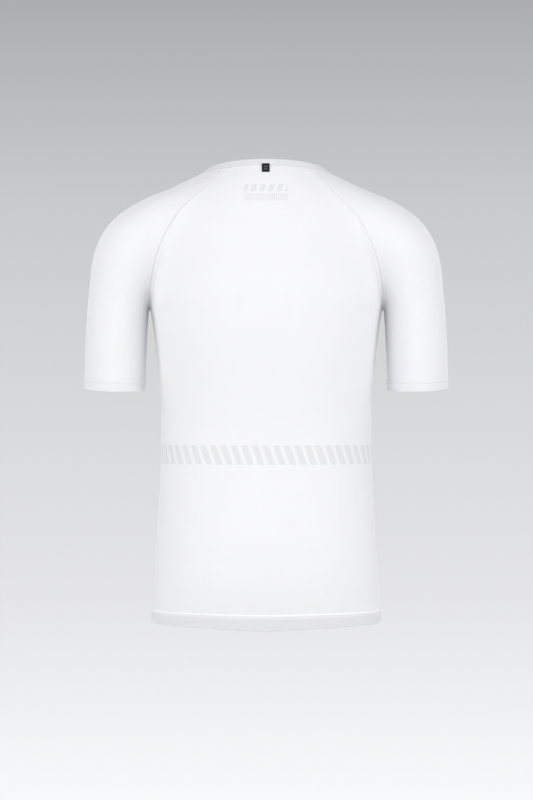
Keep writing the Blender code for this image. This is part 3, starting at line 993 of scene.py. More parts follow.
def cloth_mesh(name: str, points: np.ndarray, faces: np.ndarray, face_maps: np.ndarray) -> bpy.types.Mesh:
    """A smooth mesh of quads with a cloth map.

    Args:
        name: the mesh's name.
        points: its points, in millimetres.
        faces: the four corners of each face.
        face_maps: the cloth map at each corner, in metres.

    Returns:
        A new mesh in metres, with its faces turned outwards.
    """
    corners = points[faces]
    crossing = np.cross(corners[:, 1] - corners[:, 0], corners[:, 2] - corners[:, 0])
    crossing += np.cross(corners[:, 2] - corners[:, 0], corners[:, 3] - corners[:, 0])
    if np.einsum("ij,ij->", corners.mean(axis=1), crossing) < 0:
        faces, face_maps = faces[:, ::-1], face_maps[:, ::-1]
    mesh = bpy.data.meshes.new(name)
    mesh.from_pydata((points * METRES).tolist(), [], faces.tolist())
    layer = mesh.uv_layers.new(name=CLOTH_MAP)
    layer.uv.foreach_set("vector", face_maps.astype(np.float32).ravel())
    mesh.shade_smooth()
    mesh.set_sharp_from_angle(angle=SHARP_EDGE)
    mesh.update()
    return mesh


def place(mesh: bpy.types.Mesh, name: str) -> bpy.types.Object:
    """A new object for a mesh, at the origin of the scene.

    Args:
        mesh: the mesh, in metres.
        name: the object's name.

    Returns:
        The object.
    """
    made = bpy.data.objects.new(name, mesh)
    bpy.context.scene.collection.objects.link(made)
    return made


def linear(hex_colour: str) -> tuple[float, float, float, float]:
    """An sRGB colour such as #F4F4F6 as linear red, green, blue and alpha.

    Args:
        hex_colour: the colour, with its # sign.

    Returns:
        The four values, from 0 to 1.
    """
    parts = [int(hex_colour[k : k + 2], 16) / 255 for k in (1, 3, 5)]
    made = [part / 12.92 if part <= 0.04045 else ((part + 0.055) / 1.055) ** 2.4 for part in parts]
    return (made[0], made[1], made[2], 1.0)


def connect(tree: Tree, target: Socket, value: Any) -> None:
    """Links a socket to an input, or sets the input to a value.

    Args:
        tree: the tree that they are in.
        target: the input.
        value: a socket or a value.
    """
    if isinstance(value, Socket):
        tree.links.new(value, target)
    else:
        target.default_value = value


def add_node(
    tree: Tree,
    kind: str,
    settings: dict[str, Any] | None = None,
    *values: Any,
    output: str | None = None,
    **inputs: Any,
) -> Socket:
    """Adds a node with its settings and links.

    Args:
        tree: the tree to add it to.
        kind: the node's type.
        settings: the values of its properties.
        *values: for its first live inputs in turn, a value or a socket to link.
        output: the name of the output to give back, if not the first live one.
        **inputs: for other inputs, by their names in lower case, a value or a socket to link.

    Returns:
        The node's output.
    """
    node = tree.nodes.new(kind)
    for name, value in (settings or {}).items():
        setattr(node, name, value)
    live = [socket for socket in node.inputs if socket.enabled]
    named = {socket.name.lower().replace(" ", "_"): socket for socket in reversed(live)}
    for target, value in zip(live, values):
        connect(tree, target, value)
    for name, value in inputs.items():
        connect(tree, named[name], value)
    return next(socket for socket in node.outputs if socket.enabled and output in (None, socket.name))


# The settings of the nodes that are used again and again
MATH = "ShaderNodeMath"
ADD, SUBTRACT, MULTIPLY, DIVIDE = ({"operation": name} for name in ("ADD", "SUBTRACT", "MULTIPLY", "DIVIDE"))
SINE, ABSOLUTE, FRACTION, ROOT = ({"operation": name} for name in ("SINE", "ABSOLUTE", "FRACT", "SQRT"))
PING_PONG, MULTIPLY_ADD = ({"operation": name} for name in ("PINGPONG", "MULTIPLY_ADD"))
MIX = "ShaderNodeMix"
OF_COLOURS = {"data_type": "RGBA"}


def within(tree: Tree, value: Socket, low: float, high: float, soft: float) -> Socket:
    """1 where a value lies between two others, falling off softly past each.

    Args:
        tree: the tree to add the nodes to.
        value: the socket to test.
        low: the lower limit.
        high: the upper limit.
        soft: how far the fall reaches to each side of a limit.

    Returns:
        A socket from 0 to 1.
    """
    middle, half = (low + high) / 2, (high - low) / 2
    away = add_node(tree, MATH, ABSOLUTE, add_node(tree, MATH, SUBTRACT, value, middle))
    smoothly = {"interpolation_type": "SMOOTHSTEP"}
    return add_node(tree, "ShaderNodeMapRange", smoothly, away, half - soft, half + soft, 1.0, 0.0)


def cloth_place(tree: Tree) -> tuple[Socket, Socket]:
    """The place on the cloth map, across and along, in metres.

    Args:
        tree: the tree to add the nodes to.

    Returns:
        A socket for each.
    """
    flat = add_node(tree, "ShaderNodeUVMap", {"uv_map": CLOTH_MAP})
    across, along = (add_node(tree, "ShaderNodeSeparateXYZ", None, flat, output=axis) for axis in "XY")
    return across, along


class Motif(NamedTuple):
    """A row of plain knitted-in bars: its edges and half width, and the bars' pitch, share and slant."""

    low: float
    high: float
    half_width: float
    pitch: float
    share: float
    slant: float


# Plain bars where the top has tone-on-tone work: round the waist, and a small patch on the upper back
WAIST_BARS = Motif(-430.5, -403.5, 400.0, 15.0, 0.62, 0.35)
PATCH_BARS = Motif(-43.0, -32.5, 31.0, 12.4, 0.6, -0.3)
PATCH_RIBS = Motif(-56.5, -46.0, 31.0, 2.6, 0.5, 0.0)


class Finish:
    """A material whose shader gets its inputs from the finish's own nodes."""

    name: str

    def dress(self, tree: Tree) -> dict[str, Any]:
        """Adds the finish's nodes, and gives a value or a socket for each shader input that it sets."""
        raise NotImplementedError

    def build(self) -> bpy.types.Material:
        """The material.

        Returns:
            A new material, named after the finish.
        """
        made = bpy.data.materials.new(self.name)
        made.use_nodes = True
        tree = made.node_tree
        shader = tree.nodes["Principled BSDF"]
        for name, value in self.dress(tree).items():
            connect(tree, shader.inputs[name], value)
        return made


@dataclass(frozen=True)
class KnitFinish(Finish):
    """A fine white knit of matt polyamide yarn: soft, with a faint sheen, and painted darker between its
    stitches as shade in their hollows.
    """

    name: str
    colour: str
    # Painted shade: the colour that the hollows between the stitches are painted
    hollow_shade_colour: str
    wale: float
    course: float
    relief: float
    roughness: float
    sheen: float
    sheen_roughness: float = 0.45
    specular: float = 0.25
    bump: float = 0.55
    cloud_scale: float = 14.0
    cloud_detail: float = 3.0
    cloud_roughness: float = 0.55
    cloud_share: float = 0.16
    motifs: tuple[Motif, ...] = ()
    bar_colour: str = "#D9D9DC"
    bar_softness: float = 0.35
    bar_depth: float = 1.4
    # Painted highlight on a band's ridge beside its seam: its colour, and where it ends, in millimetres along
    # the band
    ridge_highlight_colour: str | None = None
    highlight_fade: tuple[float, float] = (1.4, 7.5)

    def stitches(self, tree: Tree, across: Socket, along: Socket) -> Socket:
        """The height of plain knit stitches, from 0 to 1: two slanted legs to each wale.

        Args:
            tree: the material's tree.
            across: the place across the cloth.
            along: the place along the cloth.

        Returns:
            The height's socket.
        """
        wales = add_node(tree, MATH, DIVIDE, across, self.wale * METRES)
        courses = add_node(tree, MATH, DIVIDE, along, self.course * METRES)
        fold = add_node(tree, MATH, PING_PONG, wales, 0.5)
        rise = add_node(tree, MATH, FRACTION, add_node(tree, MATH, ADD, courses, fold))
        leg = add_node(tree, MATH, SINE, add_node(tree, MATH, MULTIPLY, fold, 2 * math.pi))
        loop = add_node(tree, MATH, SINE, add_node(tree, MATH, MULTIPLY, rise, math.pi))
        loop, leg = add_node(tree, MATH, ROOT, loop), add_node(tree, MATH, ABSOLUTE, leg)
        return add_node(tree, MATH, MULTIPLY, loop, leg)

    def bars(self, tree: Tree, across: Socket, height: Socket) -> Socket:
        """How much of a knitted-in bar there is at each place.

        Args:
            tree: the material's tree.
            across: the place across the cloth.
            height: the height above the origin.

        Returns:
            A socket from 0 to 1.
        """
        total: Any = 0.0
        soft = self.bar_softness * METRES
        for motif in self.motifs:
            rows = within(tree, height, motif.low * METRES, motif.high * METRES, soft)
            wide = within(tree, across, -motif.half_width * METRES, motif.half_width * METRES, soft)
            shifted = add_node(tree, MATH, MULTIPLY_ADD, height, motif.slant, across)
            pitch = motif.pitch * METRES
            turn = add_node(tree, MATH, FRACTION, add_node(tree, MATH, DIVIDE, shifted, pitch))
            bar = within(tree, turn, 0.5 - motif.share / 2, 0.5 + motif.share / 2, soft / pitch)
            patch = add_node(tree, MATH, MULTIPLY, rows, wide)
            total = add_node(tree, MATH, MULTIPLY_ADD, patch, bar, total)
        return total

    def dress(self, tree: Tree) -> dict[str, Any]:
        """Colours the stitches with painted shade in their hollows, paints a highlight on the ridge beside a
        seam, colours the bars over them, and raises the stitches.

        Args:
            tree: the material's tree.

        Returns:
            A value or a socket for each shader input that it sets.
        """
        across, along = cloth_place(tree)
        place_in = add_node(tree, "ShaderNodeTexCoord", output="Object")
        knit = relief = self.stitches(tree, across, along)
        noise = {"scale": self.cloud_scale, "detail": self.cloud_detail, "roughness": self.cloud_roughness}
        cloud = add_node(tree, "ShaderNodeTexNoise", vector=place_in, **noise)
        # Painted shade: the stitches' height mixes the darker hollow colour into the low places between them,
        # under a random cloud of tone
        even = add_node(tree, MATH, MULTIPLY, knit, 1 - self.cloud_share)
        layers = [(add_node(tree, MATH, MULTIPLY_ADD, cloud, self.cloud_share, even), self.colour)]
        # Painted highlight: a lighter tone along the band next to its seam, fading to the band's own tone
        # further from it
        if self.ridge_highlight_colour:
            start, end = (value * METRES for value in self.highlight_fade)
            near = add_node(tree, "ShaderNodeMapRange", None, along, start, end, 1.0, 0.0)
            layers.append((near, self.ridge_highlight_colour))
        if self.motifs:
            height = add_node(tree, "ShaderNodeSeparateXYZ", None, place_in, output="Z")
            bar = self.bars(tree, across, height)
            layers.append((bar, self.bar_colour))
            sunk = add_node(tree, MATH, MULTIPLY, bar, self.bar_depth)
            relief = add_node(tree, MATH, SUBTRACT, knit, sunk)
        tone: Any = linear(self.hollow_shade_colour)
        for share, colour in layers:
            tone = add_node(tree, MIX, OF_COLOURS, share, tone, linear(colour))
        depth = self.relief * METRES
        return {
            "Base Color": tone,
            "Normal": add_node(tree, "ShaderNodeBump", strength=self.bump, distance=depth, height=relief),
            "Roughness": self.roughness,
            "Specular IOR Level": self.specular,
            "Sheen Weight": self.sheen,
            "Sheen Roughness": self.sheen_roughness,
        }


@dataclass(frozen=True)
class LabelFinish(Finish):
    """A black damask-woven label: dense satin yarn with two plain grey bars. Its sizes are in millimetres."""

    name: str = "Black damask woven label"
    colour: str = "#0C0C0D"
    bar_colour: str = "#4E4E50"
    bars: tuple[tuple[float, float], ...] = ((3.6, 6.4), (7.8, 10.6))
    bar_half_width: float = 3.0
    end_softness: float = 0.3
    bar_softness: float = 0.6
    pick: float = 0.7
    relief: float = 0.15
    bump: float = 0.5
    roughness: float = 0.5
    specular: float = 0.15

    def dress(self, tree: Tree) -> dict[str, Any]:
        """Colours the bars and raises the weave.

        Args:
            tree: the material's tree.

        Returns:
            A value or a socket for each shader input that it sets.
        """
        across, along = cloth_place(tree)
        half, soft = self.bar_half_width * METRES, self.bar_softness * METRES
        wide = within(tree, across, -half, half, self.end_softness * METRES)
        upper, lower = (within(tree, along, low * METRES, high * METRES, soft) for low, high in self.bars)
        bar = add_node(tree, MATH, MULTIPLY, wide, add_node(tree, MATH, ADD, upper, lower))
        turn = 2 * math.pi / (self.pick * METRES)
        ends, picks = (
            add_node(tree, MATH, SINE, add_node(tree, MATH, MULTIPLY, way, turn)) for way in (across, along)
        )
        weave = add_node(tree, MATH, MULTIPLY, picks, ends)
        depth = self.relief * METRES
        return {
            "Base Color": add_node(tree, MIX, OF_COLOURS, bar, linear(self.colour), linear(self.bar_colour)),
            "Normal": add_node(tree, "ShaderNodeBump", strength=self.bump, distance=depth, height=weave),
            "Roughness": self.roughness,
            "Specular IOR Level": self.specular,
        }


@dataclass(frozen=True)
class CloudedFinish(Finish):
    """A plain surface of two close tones, clouded: sewing thread's fibres, or paint."""

    name: str
    dark: str
    light: str
    scale: float
    roughness: float
    sheen: float = 0.0
    detail: float = 2.0

    def dress(self, tree: Tree) -> dict[str, Any]:
        """Clouds the two tones.

        Args:
            tree: the material's tree.

        Returns:
            A value or a socket for each shader input that it sets.
        """
        place_in = add_node(tree, "ShaderNodeTexCoord", output="Object")
        cloud = add_node(tree, "ShaderNodeTexNoise", vector=place_in, scale=self.scale, detail=self.detail)
        return {
            "Base Color": add_node(tree, MIX, OF_COLOURS, cloud, linear(self.dark), linear(self.light)),
            "Roughness": self.roughness,
            "Sheen Weight": self.sheen,
        }


@dataclass
class Garment:
    """Builds every cloth piece of the top, dresses it and puts it in its solid's place."""

    pattern: Pattern
    relief: SeamRelief
    knit: bpy.types.Material
    sleeve: bpy.types.Material
    neck: bpy.types.Material
    hem: bpy.types.Material
    cuff: bpy.types.Material
    label: bpy.types.Material

    def finish(
        self,
        name: str,
        mesh: bpy.types.Mesh,
        node: str,
        material: bpy.types.Material,
        slot: Slot,
    ) -> bpy.types.Object:
        """Places a piece, gives it its material and lets it stand for its solid.

        Args:
            name: the piece's name.
            mesh: its mesh.
            node: the solid that it replaces.
            material: its material.
            slot: the record's slot for it; not used.

        Returns:
            The new object.
        """
        mesh.materials.append(material)
        piece = place(mesh, name)
        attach(piece, BODY)
        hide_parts(node)
        LOG.info("%s: %d faces", name, len(mesh.polygons))
        return piece

    @staticmethod
    def cut_of(grid: np.ndarray) -> tuple[tuple[float, float], float]:
        """The flat cut of a piece in metres.

        Args:
            grid: its outer points, in millimetres.

        Returns:
            Its width and length, and its area in square metres.
        """
        width = run_of(grid)[:, -1].max() / STRETCH_ACROSS
        length = run_of(grid.swapaxes(0, 1))[:, -1].max() / STRETCH_ALONG
        corners = quads_of(grid)
        crossing = np.cross(corners[:, 2] - corners[:, 0], corners[:, 3] - corners[:, 1])
        area = np.linalg.norm(crossing, axis=1).sum() / 2 / STRETCH_ACROSS / STRETCH_ALONG
        return (width * METRES, length * METRES), min(area, width * length) * METRES**2

    def panel(self, name: str, grid: np.ndarray, part: Field, rings: int = 0) -> Cloth:
        """A panel's shell, from its outer points.

        Args:
            name: the panel's name.
            grid: its points on the form.
            part: the part of the form that it belongs to.
            rings: how many of its first rows are closed rings.

        Returns:
            The shell, with its edges drawn back by half the seam's gap.
        """
        outward, way_in = self.pattern.form.way_in(grid, part)
        raised = grid + outward * self.relief.height(grid, rings > 0)[..., None]
        shift = np.zeros_like(grid)
        every, open_rows = slice(None), slice(rings, None)
        for edge, inside in (
            ((0, every), (1, every)),
            ((-1, every), (-2, every)),
            ((open_rows, 0), (open_rows, 1)),
            ((open_rows, -1), (open_rows, -2)),
        ):
            run = unit(np.gradient(grid[edge], axis=0))
            back = grid[inside] - grid[edge]
            shift[edge] += unit(back - run * (back * run).sum(axis=-1, keepdims=True)) * SEAM_GAP / 2
        if rings:
            shift[rings, [0, -1]] = unit(grid[rings - 1, 0] - grid[rings, 0]) * SEAM_GAP / 2
        middle = grid.shape[1] // 2
        across = run_of(grid)
        across -= across[:, middle : middle + 1]
        along = np.broadcast_to(run_of(grid[:, middle])[:, None], across.shape)
        flat_map = np.stack([across, along], axis=2) * METRES
        closed = rings + 1 if rings else 0
        return Cloth(name, raised + shift, raised + way_in * CLOTH + shift, flat_map, closed)

    def band_shell(
        self,
        name: str,
        seam: np.ndarray,
        edge: np.ndarray,
        profile: Sequence[Profile],
    ) -> bpy.types.Mesh:
        """A closed ring of one wall section, carried round a seam.

        Args:
            name: the band's name.
            seam: the ring of the seam.
            edge: the ring of the free edge.
            profile: the wall's section, starting at the seam's outer side.

        Returns:
            The band's mesh.
        """
        form = self.pattern.form
        along = (edge - seam) / max(row.along for row in profile)
        run = unit(np.roll(seam, -1, axis=0) - np.roll(seam, 1, axis=0))
        panel_out = form.outward(seam)
        out = unit(np.cross(run, along))
        out *= np.sign((out * panel_out).sum(axis=1, keepdims=True))
        start = unit(np.cross(run, panel_out))
        start *= np.sign((start * along).sum(axis=1, keepdims=True))
        rings = []
        for row in profile:
            if row.along == 0:
                rings.append(seam + start * SEAM_GAP / 2 + panel_out * row.out)
            else:
                rings.append(seam + along * row.along + out * row.out)
        points = np.array(rings + [rings[0]])
        round_run = run_of(np.concatenate([seam, seam[:1]]))
        down = run_of(points[:, 0])
        count, width = len(profile), len(seam)
        index = (np.arange(count + 1)[:, None] % count) * width + np.arange(width + 1)[None, :] % width
        flat_map = np.stack(np.broadcast_arrays(round_run[None, :], down[:, None]), axis=2) * METRES
        return cloth_mesh(name, points[:-1].reshape(-1, 3), quads_of(index), quads_of(flat_map))

    def declare(self, piece: bpy.types.Object, grid: np.ndarray) -> None:
        """States the flat cut of a piece of cloth.

        Args:
            piece: the piece.
            grid: its outer points, in millimetres.
        """
        flat, area = self.cut_of(grid)
        LOG.info("%s: cut %.3f by %.3f m, %.4f square metres", piece.name, *flat, area)

    def band(
        self,
        name: str,
        node: str,
        rings: tuple[np.ndarray, np.ndarray],
        profile: Sequence[Profile],
        material: bpy.types.Material,
    ) -> None:
        """Builds a band round a seam, in its solid's place.

        Args:
            name: the band's name.
            node: the solid that it replaces.
            rings: the rings of its seam and its free edge.
            profile: its wall's section.
            material: its material.
        """
        mesh = self.band_shell(name, *rings, profile)
        piece = self.finish(name, mesh, node, material, Slot.BAND)
        grid = np.array(rings)
        self.declare(piece, np.concatenate([grid, grid[:, :1]], axis=1))

    def build(self) -> dict[str, np.ndarray]:
        """Builds every piece.

        Returns:
            The rings of the seams that the stitching follows, by name.
        """
        form, pattern = self.pattern.form, self.pattern
        back, front = pattern.body_panel(Face.BACK), pattern.body_panel(Face.FRONT)
        sleeve, rings = pattern.sleeve_panel()
        for node, grid in (("back", back), ("front", front)):
            shell = self.panel(f"{node}_panel", grid, form.body_alone)
            piece = self.finish(shell.name, shell.mesh(), node, self.knit, Slot.KNIT)
            self.declare(piece, grid)
        shell = self.panel("sleeve", sleeve, form.arm_alone, rings)
        cuff, cuff_edge = sleeve[0, :-1], pattern.cuff_ring(CUFF_DEPTH)
        for side in Side:
            word, turn = side.name.lower(), (side.value, 1, 1)
            shell.name = f"{word}_sleeve"
            mesh = shell.mesh(mirrored=side is Side.RIGHT)
            piece = self.finish(shell.name, mesh, f"sleeve_{word}", self.sleeve, Slot.KNIT)
            self.declare(piece, sleeve)
            cuff_rings = (cuff * turn, cuff_edge * turn)
            self.band(f"{word}_cuff", f"cuff_{word}", cuff_rings, CUFF_PROFILE, self.cuff)
        other = sleeve[-1] * (-1, 1, 1)
        neck = np.concatenate([back[-1, ::-1][:-1], sleeve[-1, ::-1][:-1], front[-1][:-1], other[:-1]])
        neck_rings = (neck, pattern.neckline.edge(neck))
        hem = np.concatenate([back[0, ::-1][:-1], front[0][:-1]])
        turns = np.arctan2(hem[:, 0], hem[:, 1])
        heights = HEM_SEAM_HEIGHT - HEM_DEPTH + HEM_EDGE_RISE * np.sin(turns) ** 2
        hem_rings = (hem, form.cast_level(turns, heights, Face.BACK))
        self.band("neck_band", "neckband", neck_rings, NECK_PROFILE, self.neck)
        self.band("hem_welt", "hem_band", hem_rings, HEM_PROFILE, self.hem)
        self.build_label()
        return {"neck": neck, "hem": hem, "cuff": cuff}

    def build_label(
        self,
        centre: float = 0.8,
        half_width: float = 5.4,
        columns: int = 8,
        cloth: float = 0.7,
        reach: float = 8.0,
        samples: int = 17,
    ) -> None:
        """Builds the small tab over the neckband's seam at the middle of the back.

        Args:
            centre: its place across.
            half_width: half of its width.
            columns: its faces across.
            cloth: its thickness.
            reach: how far round the neck its seam is read, either way, in degrees.
            samples: how many points of the seam are read.
        """
        form = self.pattern.form
        seam = self.pattern.neckline.seam(np.linspace(-reach, reach, samples))
        up = unit(self.pattern.neckline.edge(seam) - seam)
        outward = form.outward(seam)
        down = unit(outward * outward[:, 2:3] - (0, 0, 1))
        spread = centre + np.linspace(half_width, -half_width, columns + 1)
        inner, outer = [], []
        for step in LABEL_STEPS:
            if step.along >= 0:
                row, way = seam + up * step.along, outward
            else:
                row = form.settle(seam - down * step.along)
                way = form.outward(row)
            order = np.argsort(row[:, 0])
            row = np.stack([np.interp(spread, row[order, 0], row[order, k]) for k in range(3)], axis=1)
            way = unit(np.stack([np.interp(spread, seam[order, 0], way[order, k]) for k in range(3)], axis=1))
            inner.append(row + way * step.out)
            outer.append(row + way * (step.out + cloth))
        points = np.array(outer)
        down_run = run_of(points[:, columns // 2])
        places = np.broadcast_arrays((centre - spread)[None, :], down_run[:, None])
        flat_map = np.stack(places, axis=2) * METRES
        shell = Cloth("woven_label", points, np.array(inner), flat_map)
        piece = self.finish("woven_label", shell.mesh(), "neck_label", self.label, Slot.LABEL)


class Stitch(NamedTuple):
    """The sizes of one kind of stitch, with its slant to the line in radians."""

    pitch: float
    length: float
    width: float
    slant: float = 0.0


# Thread in millimetres, thicker and further apart than the real one so that it shows
FLATLOCK = Stitch(pitch=2.9, length=2.6, width=0.95)
LADDER = Stitch(pitch=1.9, length=3.4, width=0.34, slant=math.radians(62))
COVERSTITCH = Stitch(pitch=2.6, length=2.1, width=0.42)


@dataclass
class Sewing:
    """Rows of thread stitches, made by one Geometry Nodes tree that follows lines on the cloth."""

    pattern: Pattern
    relief: SeamRelief
    thread: bpy.types.Material
    seed: int = 7
    jitter: float = 0.07
    oval_segments: int = 6
    oval_rings: int = 4
    flatlock_lift: float = 0.12
    ladder_lift: float = 0.05
    cover_place: float = 1.9
    cover_lift: float = 0.16

    def tree(self) -> Tree:
        """The tree: a line is measured off in stitches, each a small oval laid along it.

        Returns:
            A new Geometry Nodes tree with named inputs.
        """
        tree = bpy.data.node_groups.new("Stitch rows", "GeometryNodeTree")
        kinds = {"Geometry": "Geometry", "Seed": "Int", "Thread": "Material"}
        kinds |= dict.fromkeys(("Pitch", "Length", "Width", "Slant"), "Float")
        for name, kind in kinds.items():
            tree.interface.new_socket(name, in_out="INPUT", socket_type=f"NodeSocket{kind}")
        tree.interface.new_socket("Geometry", in_out="OUTPUT", socket_type="NodeSocketGeometry")
        given = {name: add_node(tree, "NodeGroupInput", output=name) for name in kinds}
        line = add_node(tree, "GeometryNodeMeshToCurve", mesh=given["Geometry"])
        by_length = {"mode": "LENGTH"}
        line = add_node(tree, "GeometryNodeResampleCurve", by_length, curve=line, length=given["Pitch"])
        shape = {"segments": self.oval_segments, "rings": self.oval_rings, "radius": 0.5}
        oval = add_node(tree, "GeometryNodeMeshUVSphere", **shape)
        size = add_node(tree, "ShaderNodeCombineXYZ", x=given["Length"], y=given["Width"], z=given["Width"])
        oval = add_node(tree, "GeometryNodeTransform", geometry=oval, scale=size)
        oval = add_node(tree, "GeometryNodeSetShadeSmooth", geometry=oval)
        tangent = add_node(tree, "GeometryNodeInputTangent")
        vectors = {"data_type": "FLOAT_VECTOR"}
        outward = add_node(tree, "GeometryNodeInputNamedAttribute", vectors, name=OUTWARD)
        aligned = "FunctionNodeAlignRotationToVector"
        turn = add_node(tree, aligned, {"axis": "X"}, vector=tangent)
        turn = add_node(tree, aligned, {"axis": "Z", "pivot_axis": "X"}, rotation=turn, vector=outward)
        most = {"min": -self.jitter, "max": self.jitter}
        jitter = add_node(tree, "FunctionNodeRandomValue", {"data_type": "FLOAT"}, **most, seed=given["Seed"])
        lean = add_node(tree, MATH, ADD, given["Slant"], jitter)
        lean = add_node(tree, "ShaderNodeCombineXYZ", z=lean)
        lean = add_node(tree, "FunctionNodeEulerToRotation", euler=lean)
        local = {"rotation_space": "LOCAL"}
        turn = add_node(tree, "FunctionNodeRotateRotation", local, rotation=turn, rotate_by=lean)
        made = add_node(tree, "GeometryNodeInstanceOnPoints", points=line, instance=oval, rotation=turn)
        made = add_node(tree, "GeometryNodeRealizeInstances", geometry=made)
        made = add_node(tree, "GeometryNodeSetMaterial", geometry=made, material=given["Thread"])
        end = tree.nodes.new("NodeGroupOutput")
        tree.links.new(made, end.inputs["Geometry"])
        return tree

    def lay(self, name: str, tree: Tree, stitch: Stitch, lines: Sequence[Line]) -> None:
        """Lays one kind of stitch along lines.

        Args:
            name: the piece's name.
            tree: the tree that makes the stitches.
            stitch: the stitch.
            lines: the lines, each with its outward directions.
        """
        counts = [len(points) for points, _ in lines]
        starts = np.cumsum([0] + counts[:-1])
        edges = [(int(s + k), int(s + k + 1)) for s, count in zip(starts, counts) for k in range(count - 1)]
        guide = bpy.data.meshes.new(f"{name}_guide")
        guide.from_pydata((np.concatenate([line[0] for line in lines]) * METRES).tolist(), edges, [])
        outward = guide.attributes.new(OUTWARD, "FLOAT_VECTOR", "POINT")
        outward.data.foreach_set("vector", np.concatenate([line[1] for line in lines]).ravel())
        maker = place(guide, name)
        modifier = maker.modifiers.new("Stitches", "NODES")
        modifier.node_group = tree
        values = {
            "Pitch": stitch.pitch * METRES,
            "Length": stitch.length * METRES,
            "Width": stitch.width * METRES,
            "Slant": stitch.slant,
            "Seed": self.seed,
            "Thread": self.thread,
        }
        for item in tree.interface.items_tree:
            if item.in_out == "INPUT" and item.name in values:
                modifier[item.identifier] = values[item.name]
        graph = bpy.context.evaluated_depsgraph_get()
        mesh = bpy.data.meshes.new_from_object(maker.evaluated_get(graph))
        maker.modifiers.remove(modifier)
        maker.data = mesh
        mesh.name = name
        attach(maker, BODY)
        LOG.info("%s: %d faces", name, len(mesh.polygons))

    def sew_raglan(self, tree: Tree) -> None:
        """Sews a flatlock row on each side of the raglan seams, and a ladder of thread across them.

        Args:
            tree: the tree that makes the stitches.
        """
        relief = self.relief
        loop = self.pattern.seam_loop()
        rows: list[Line] = []
        rungs: list[Line] = []
        for part in (loop[: len(loop) // 2], loop[len(loop) // 2 :]):
            clear = np.linalg.norm(part - self.pattern.form.armpit, axis=1) > relief.armpit_clear
            part = part[clear]
            for side in Side:
                turn = (side.value, 1, 1)
                for aside in (-relief.ridge_place, relief.ridge_place):
                    points, outward = relief.offset_line(part, aside, self.flatlock_lift)
                    on_sleeve = np.abs(points[:, 0]).sum() > np.abs(part[:, 0]).sum()
                    rows.append(((points + outward * relief.ridge(on_sleeve)) * turn, outward * turn))
                points, outward = relief.offset_line(part, 0.0, self.ladder_lift)
                rungs.append((points * turn, outward * turn))
        LOG.info("raglan seam: %.0f mm from neck to neck", run_of(loop)[-1])
        self.lay("raglan_stitches", tree, FLATLOCK, rows)
        self.lay("raglan_ladder", tree, LADDER, rungs)

    def sew_bands(self, tree: Tree, rings: dict[str, np.ndarray]) -> None:
        """Sews the rows that hold the bands on.

        Args:
            tree: the tree that makes the stitches.
            rings: the rings of the neck, hem and cuff seams.
        """
        form = self.pattern.form
        left, both = (Side.LEFT,), tuple(Side)
        for word, rise, sides in (("neck", -1, left), ("hem", 1, left), ("cuff", 1, both)):
            ring = rings[word]
            run = unit(np.roll(ring, -1, axis=0) - np.roll(ring, 1, axis=0))
            aside = unit(np.cross(run, form.outward(ring)))
            aside *= np.sign(aside[:, 2:3]) * rise
            placed = form.settle(ring + aside * self.cover_place, rounds=6)
            line = np.concatenate([placed, placed[:1]])
            outward = form.outward(line)
            line = line + outward * self.cover_lift
            lines = [(line * (side.value, 1, 1), outward * (side.value, 1, 1)) for side in sides]
            self.lay(f"{word}_stitches", tree, COVERSTITCH, lines)

    def build(self, rings: dict[str, np.ndarray]) -> None:
        """Sews the raglan seams, the neckline, the hem and the cuffs.

        Args:
            rings: the rings of the neck, hem and cuff seams.
        """
        tree = self.tree()
        self.sew_raglan(tree)
        self.sew_bands(tree, rings)


class Lamp(NamedTuple):
    """A soft square light aimed at the middle of the garment.

    Its angles are in degrees from the camera's side towards the wearer's left and above the camera's horizon,
    its distance and width in metres, and its power in watts.
    """

    name: str
    turn: float
    rise: float
    reach: float
    size: float
    power: float


# Hung on each side: a broad light, two small ones nearer the sleeves, and one for the front
SIDE_LAMPS = (
    Lamp("broad", 57, 8, 3.4, 1.8, 50),
    Lamp("near", 26, 4, 1.6, 0.5, 1.5),
    Lamp("upper", 22, 27, 1.8, 0.6, 1.5),
    Lamp("front", 158, 14, 3.3, 1.8, 38),
)
HIGH_LAMP = Lamp("high", 0, 45, 3.2, 1.6, 14.5)

# The backdrop's tones from the bottom of the frame to its top
BACKDROP = ((0.0, "#F8F9FC"), (0.25, "#E5E5E7"), (0.75, "#C9CACB"), (1.0, "#ACADAE"))


